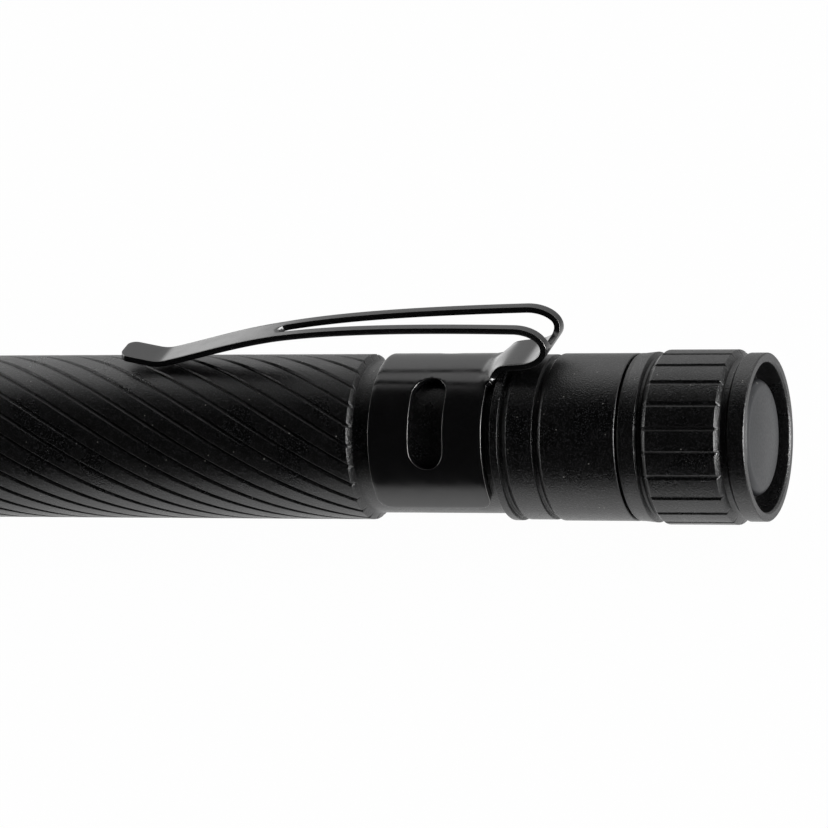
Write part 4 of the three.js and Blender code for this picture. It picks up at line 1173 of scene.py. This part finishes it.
def coated_steel(name, tint, roughness):
    """Black coated spring steel: smooth and half glossy, faintly rippled, with a few dust specks."""
    material, tree, shader, where = new_material(name)
    cloud = add_node(tree, "ShaderNodeTexNoise", {"Vector": where, "Scale": 1 / (1.5 * mm), "Detail": 6.0})
    rough = add_node(tree, "ShaderNodeMapRange", {
        "Value": cloud.outputs["Fac"], "From Min": 0.3, "From Max": 0.7,
        "To Min": roughness - 0.04, "To Max": roughness + 0.06,
    })
    peel = add_node(tree, "ShaderNodeTexNoise", {"Vector": where, "Scale": 1 / (0.25 * mm), "Detail": 2.0})
    bump = add_node(tree, "ShaderNodeBump", {"Height": peel.outputs["Fac"], "Distance": 0.002 * mm})
    dusty = add_node(tree, "ShaderNodeMix", {
        "Factor": dust_specks(tree, where, 0.4, 0.015).outputs[0], "A": colour(tint), "B": dust_tint,
    }, data_type="RGBA")
    tree.links.new(rough.outputs[0], shader.inputs["Roughness"])
    tree.links.new(bump.outputs[0], shader.inputs["Normal"])
    tree.links.new(dusty.outputs["Result"], shader.inputs["Base Color"])
    shader.inputs["IOR"].default_value = 1.65
    return material


clip_coat = coated_steel("black_coated_spring_steel", "#0e0e0f", 0.2)
clip = show("pocket_clip_sheet", clip_mesh(), clip_coat)
wall = clip.modifiers.new("sheet", "SOLIDIFY")
wall.thickness = clip_sheet * mm
wall.offset = 0
soften = clip.modifiers.new("edges", "BEVEL")
soften.width = clip_edge * mm
soften.segments = 2
soften.limit_method = "ANGLE"
soften.angle_limit = clip_edge_angle
clip.data.materials.append(grained("worn_steel_edge", "#8a8988", 0.32, 0.1, 0.004, 1.0))
soften.material = 1
clip_result = bpy.data.meshes.new_from_object(clip.evaluated_get(bpy.context.evaluated_depsgraph_get()))
clip.modifiers.clear()
clip.data = clip_result
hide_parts("pocket_clip")
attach(clip, "clip")


# Tail cap: turned from the same bar as the barrel, with a proud grip ring cut by lengthwise grooves,
# a thin ring round the recessed button, and an inside step that the switch is screwed against.
cap_length = 11.4
cap_seam_chamfer = 0.22
tail_rim = 0.8
trench_radius = tube_radius - tail_rim
trench_depth, web_end = 2.3, 3.1
tail_ring_end, tail_groove_end = 1.45, 2.2
tail_groove_floor, tail_groove_slope = 6.85, 0.28
rim_lead, rim_chamfer = 0.15, 0.09
grip_radius = axis_height / mm
grip_start, grip_end = 2.58, 8.68
grip_grooves = 22
grip_groove_width, grip_groove_depth = 0.5, 0.14
grip_phase = math.radians(9.3)
cap_groove_floor = 6.95
cap_groove = (9.34, 9.54, 9.74)
collar_radius = 7.32
collar_end = 10.89
cap_bore = 6.3
switch_cavity = 6.05
switch_step = 5.0
button_hole = 5.15
gland_radius = 6.72
gland = (10.25, 10.85)
turning_start, turning_lines, turning_pitch, turning_depth = 0.25, 11, 0.17, 0.03

cap_outline = [
    (0, trench_radius + rim_lead, edge),
    (0, tube_radius - rim_chamfer, edge),
    (rim_chamfer, tube_radius, edge),
    (tail_ring_end, tube_radius, edge),
    (tail_ring_end + tail_groove_slope, tail_groove_floor, foot),
    (tail_groove_end, tail_groove_floor, foot),
    (grip_start, grip_radius, edge),
    (grip_end, grip_radius, edge),
    (cap_groove[0], cap_groove_floor, edge),
    (cap_groove[1], cap_groove_floor, edge),
    (cap_groove[2], collar_radius, edge),
    (collar_end, tube_radius, edge),
    (cap_length - cap_seam_chamfer, tube_radius, crisp),
    (cap_length, tube_radius - cap_seam_chamfer, crisp),
    (cap_length, cap_bore, crisp),
    (gland[1], cap_bore, crisp),
    (gland[1], gland_radius, crisp),
    (gland[0], gland_radius, crisp),
    (gland[0], cap_bore, crisp),
    (switch_step, cap_bore, crisp),
    (switch_step, switch_cavity, crisp),
    (web_end, switch_cavity, crisp),
    (web_end, button_hole, crisp),
    (trench_depth, button_hole, crisp),
    (trench_depth, trench_radius, edge),
]
for line in range(turning_lines):
    line_at = trench_depth - turning_start - line * turning_pitch
    cap_outline.append((line_at, trench_radius, 0))
    cap_outline.append((line_at - turning_pitch / 2, trench_radius - turning_depth, 0))
cap_outline.append((rim_lead, trench_radius, edge))
cap_angles = [angle + grip_phase for angle in flute_angles(grip_grooves, grip_groove_width, grip_radius)]
cap = show("tail_cap", turned("tail_cap", rounded(cap_outline), cap_angles), anodised)
run_tree(cap, groove_tree, {
    "Tail": tail_end, "Axis Height": axis_height, "Radius": grip_radius * mm, "Flutes": float(grip_grooves),
    "Phase": grip_phase, "Twist": 0.0, "Start": 0.0, "From": tail_groove_end * mm, "To": cap_groove[0] * mm,
    "Width": grip_groove_width * mm, "Depth": grip_groove_depth * mm, "Material": anodised,
})
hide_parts("tailcap")
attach(cap, "cap")


# Switch: a moulded click switch on a small board, clamped in the cap by a notched brass ring. A plunger
# under the button presses on its spring, and a cone spring on the board holds the cells.
wire_steel = grained("nickel_plated_spring_steel", "#b9b7b2", 0.22, 0.08, 0.003, 1.0)
press_spring_from, press_spring_to = 6.0, 8.95
press_spring_radius, press_spring_wire, press_spring_turns = 2.25, 0.2, 4
cell_spring_from, cell_spring_to = 10.5, 13.35
cell_spring_foot, cell_spring_tip, cell_spring_wire, cell_spring_turns = 3.4, 1.9, 0.3, 3.5
coil_steps, wire_sides = 40, 12
finish_node("switch_body", dark_plastic)
finish_node("switch_retainer", brass)
finish_node("switch_board", green_board)
finish_node("switch_plunger", grained("moulded_white_acetal", "#dcdbd6", 0.4, 0.15, 0.005))


def coil_winder():
    """A tree that winds a round wire into a coil along the axis, straight or tapered."""
    tree = new_tree("coil_winder", (
        "Turns", "Start Radius", "End Radius", "Length", "Wire", "Place", "Axis Height",
    ))
    given = add_node(tree, "NodeGroupInput").outputs
    path = add_node(tree, "GeometryNodeCurveSpiral", {
        "Resolution": coil_steps, "Rotations": given["Turns"], "Start Radius": given["Start Radius"],
        "End Radius": given["End Radius"], "Height": given["Length"],
    })
    section = add_node(tree, "GeometryNodeCurvePrimitiveCircle", {
        "Resolution": wire_sides, "Radius": given["Wire"],
    })
    tube = add_node(tree, "GeometryNodeCurveToMesh", {
        "Curve": path.outputs[0], "Profile Curve": section.outputs[0], "Fill Caps": True,
    })
    spot = add_node(tree, "ShaderNodeCombineXYZ", {"X": given["Place"], "Z": given["Axis Height"]})
    laid = add_node(tree, "GeometryNodeTransform", {
        "Geometry": tube.outputs[0], "Rotation": (0, -math.pi / 2, 0), "Translation": spot.outputs[0],
    })
    smooth_faces = add_node(tree, "GeometryNodeSetShadeSmooth", {"Geometry": laid.outputs[0]})
    end_tree(tree, smooth_faces.outputs[0], given["Material"])
    return tree


coil_tree = coil_winder()


def wound(name, start, end, first_radius, last_radius, wire, turns):
    """A wire coil between two places along the axis, the radii being those of its middle line."""
    coil = show(name, bpy.data.meshes.new(name), wire_steel)
    return run_tree(coil, coil_tree, {
        "Turns": float(turns), "Start Radius": first_radius * mm, "End Radius": last_radius * mm,
        "Length": (end - start - 2 * wire) * mm, "Wire": wire * mm, "Place": tail_end - (start + wire) * mm,
        "Axis Height": axis_height, "Material": wire_steel,
    })


press_spring = wound(
    "plunger_coil", press_spring_from, press_spring_to,
    press_spring_radius, press_spring_radius, press_spring_wire, press_spring_turns,
)
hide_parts("plunger_spring")
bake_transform(press_spring)
cell_spring = wound(
    "battery_coil", cell_spring_from, cell_spring_to,
    cell_spring_foot, cell_spring_tip, cell_spring_wire, cell_spring_turns,
)
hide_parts("tail_spring")
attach(cell_spring, "cap")


# Button: a cap of dark grey silicone rubber with a low domed top. Its flange is clamped under the web
# of the tail cap, and the thin wall gives way when the top is pressed.
boot_radius = 5.0
boot_crown_start, boot_crown_rise, boot_edge = 0.15, 0.3, 0.8
boot_wall, boot_roof = 0.9, 1.35
boot_flange = (3.15, 3.95)
boot_flange_radius = 5.95
crown_steps, edge_steps = 12, 14
side_rings, side_pitch = 9, 0.19
inner_rings, inner_pitch, inner_start = 9, 0.2, 3.0

crown_radius = boot_radius - boot_edge
edge_middle = boot_crown_start + boot_crown_rise + boot_edge
boot_points = [
    Vector((boot_crown_start + boot_crown_rise * (i / crown_steps) ** 2, crown_radius * i / crown_steps))
    for i in range(crown_steps)
]
boot_points += [
    Vector((edge_middle - boot_edge * math.cos(t), crown_radius + boot_edge * math.sin(t)))
    for t in (math.pi / 2 * i / edge_steps for i in range(edge_steps + 1))
]
boot_bore = boot_radius - boot_wall
boot_points += [Vector((edge_middle + i * side_pitch, boot_radius)) for i in range(1, side_rings + 1)]
boot_points += [
    Vector((boot_flange[0], boot_radius)),
    Vector((boot_flange[0], boot_flange_radius)),
    Vector((boot_flange[1], boot_flange_radius)),
    Vector((boot_flange[1], boot_bore)),
]
boot_points += [Vector((inner_start - i * inner_pitch, boot_bore)) for i in range(inner_rings)]
boot_points += [Vector((boot_roof, boot_bore - edge)), Vector((boot_roof, 0))]
boot_rubber = rubber("grey_silicone_rubber", "#1e1f21", 0.38, 0.12)
boot = show("button_boot", turned("button_boot", boot_points, round_sides), boot_rubber)
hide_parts("switch_boot")
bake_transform(boot)
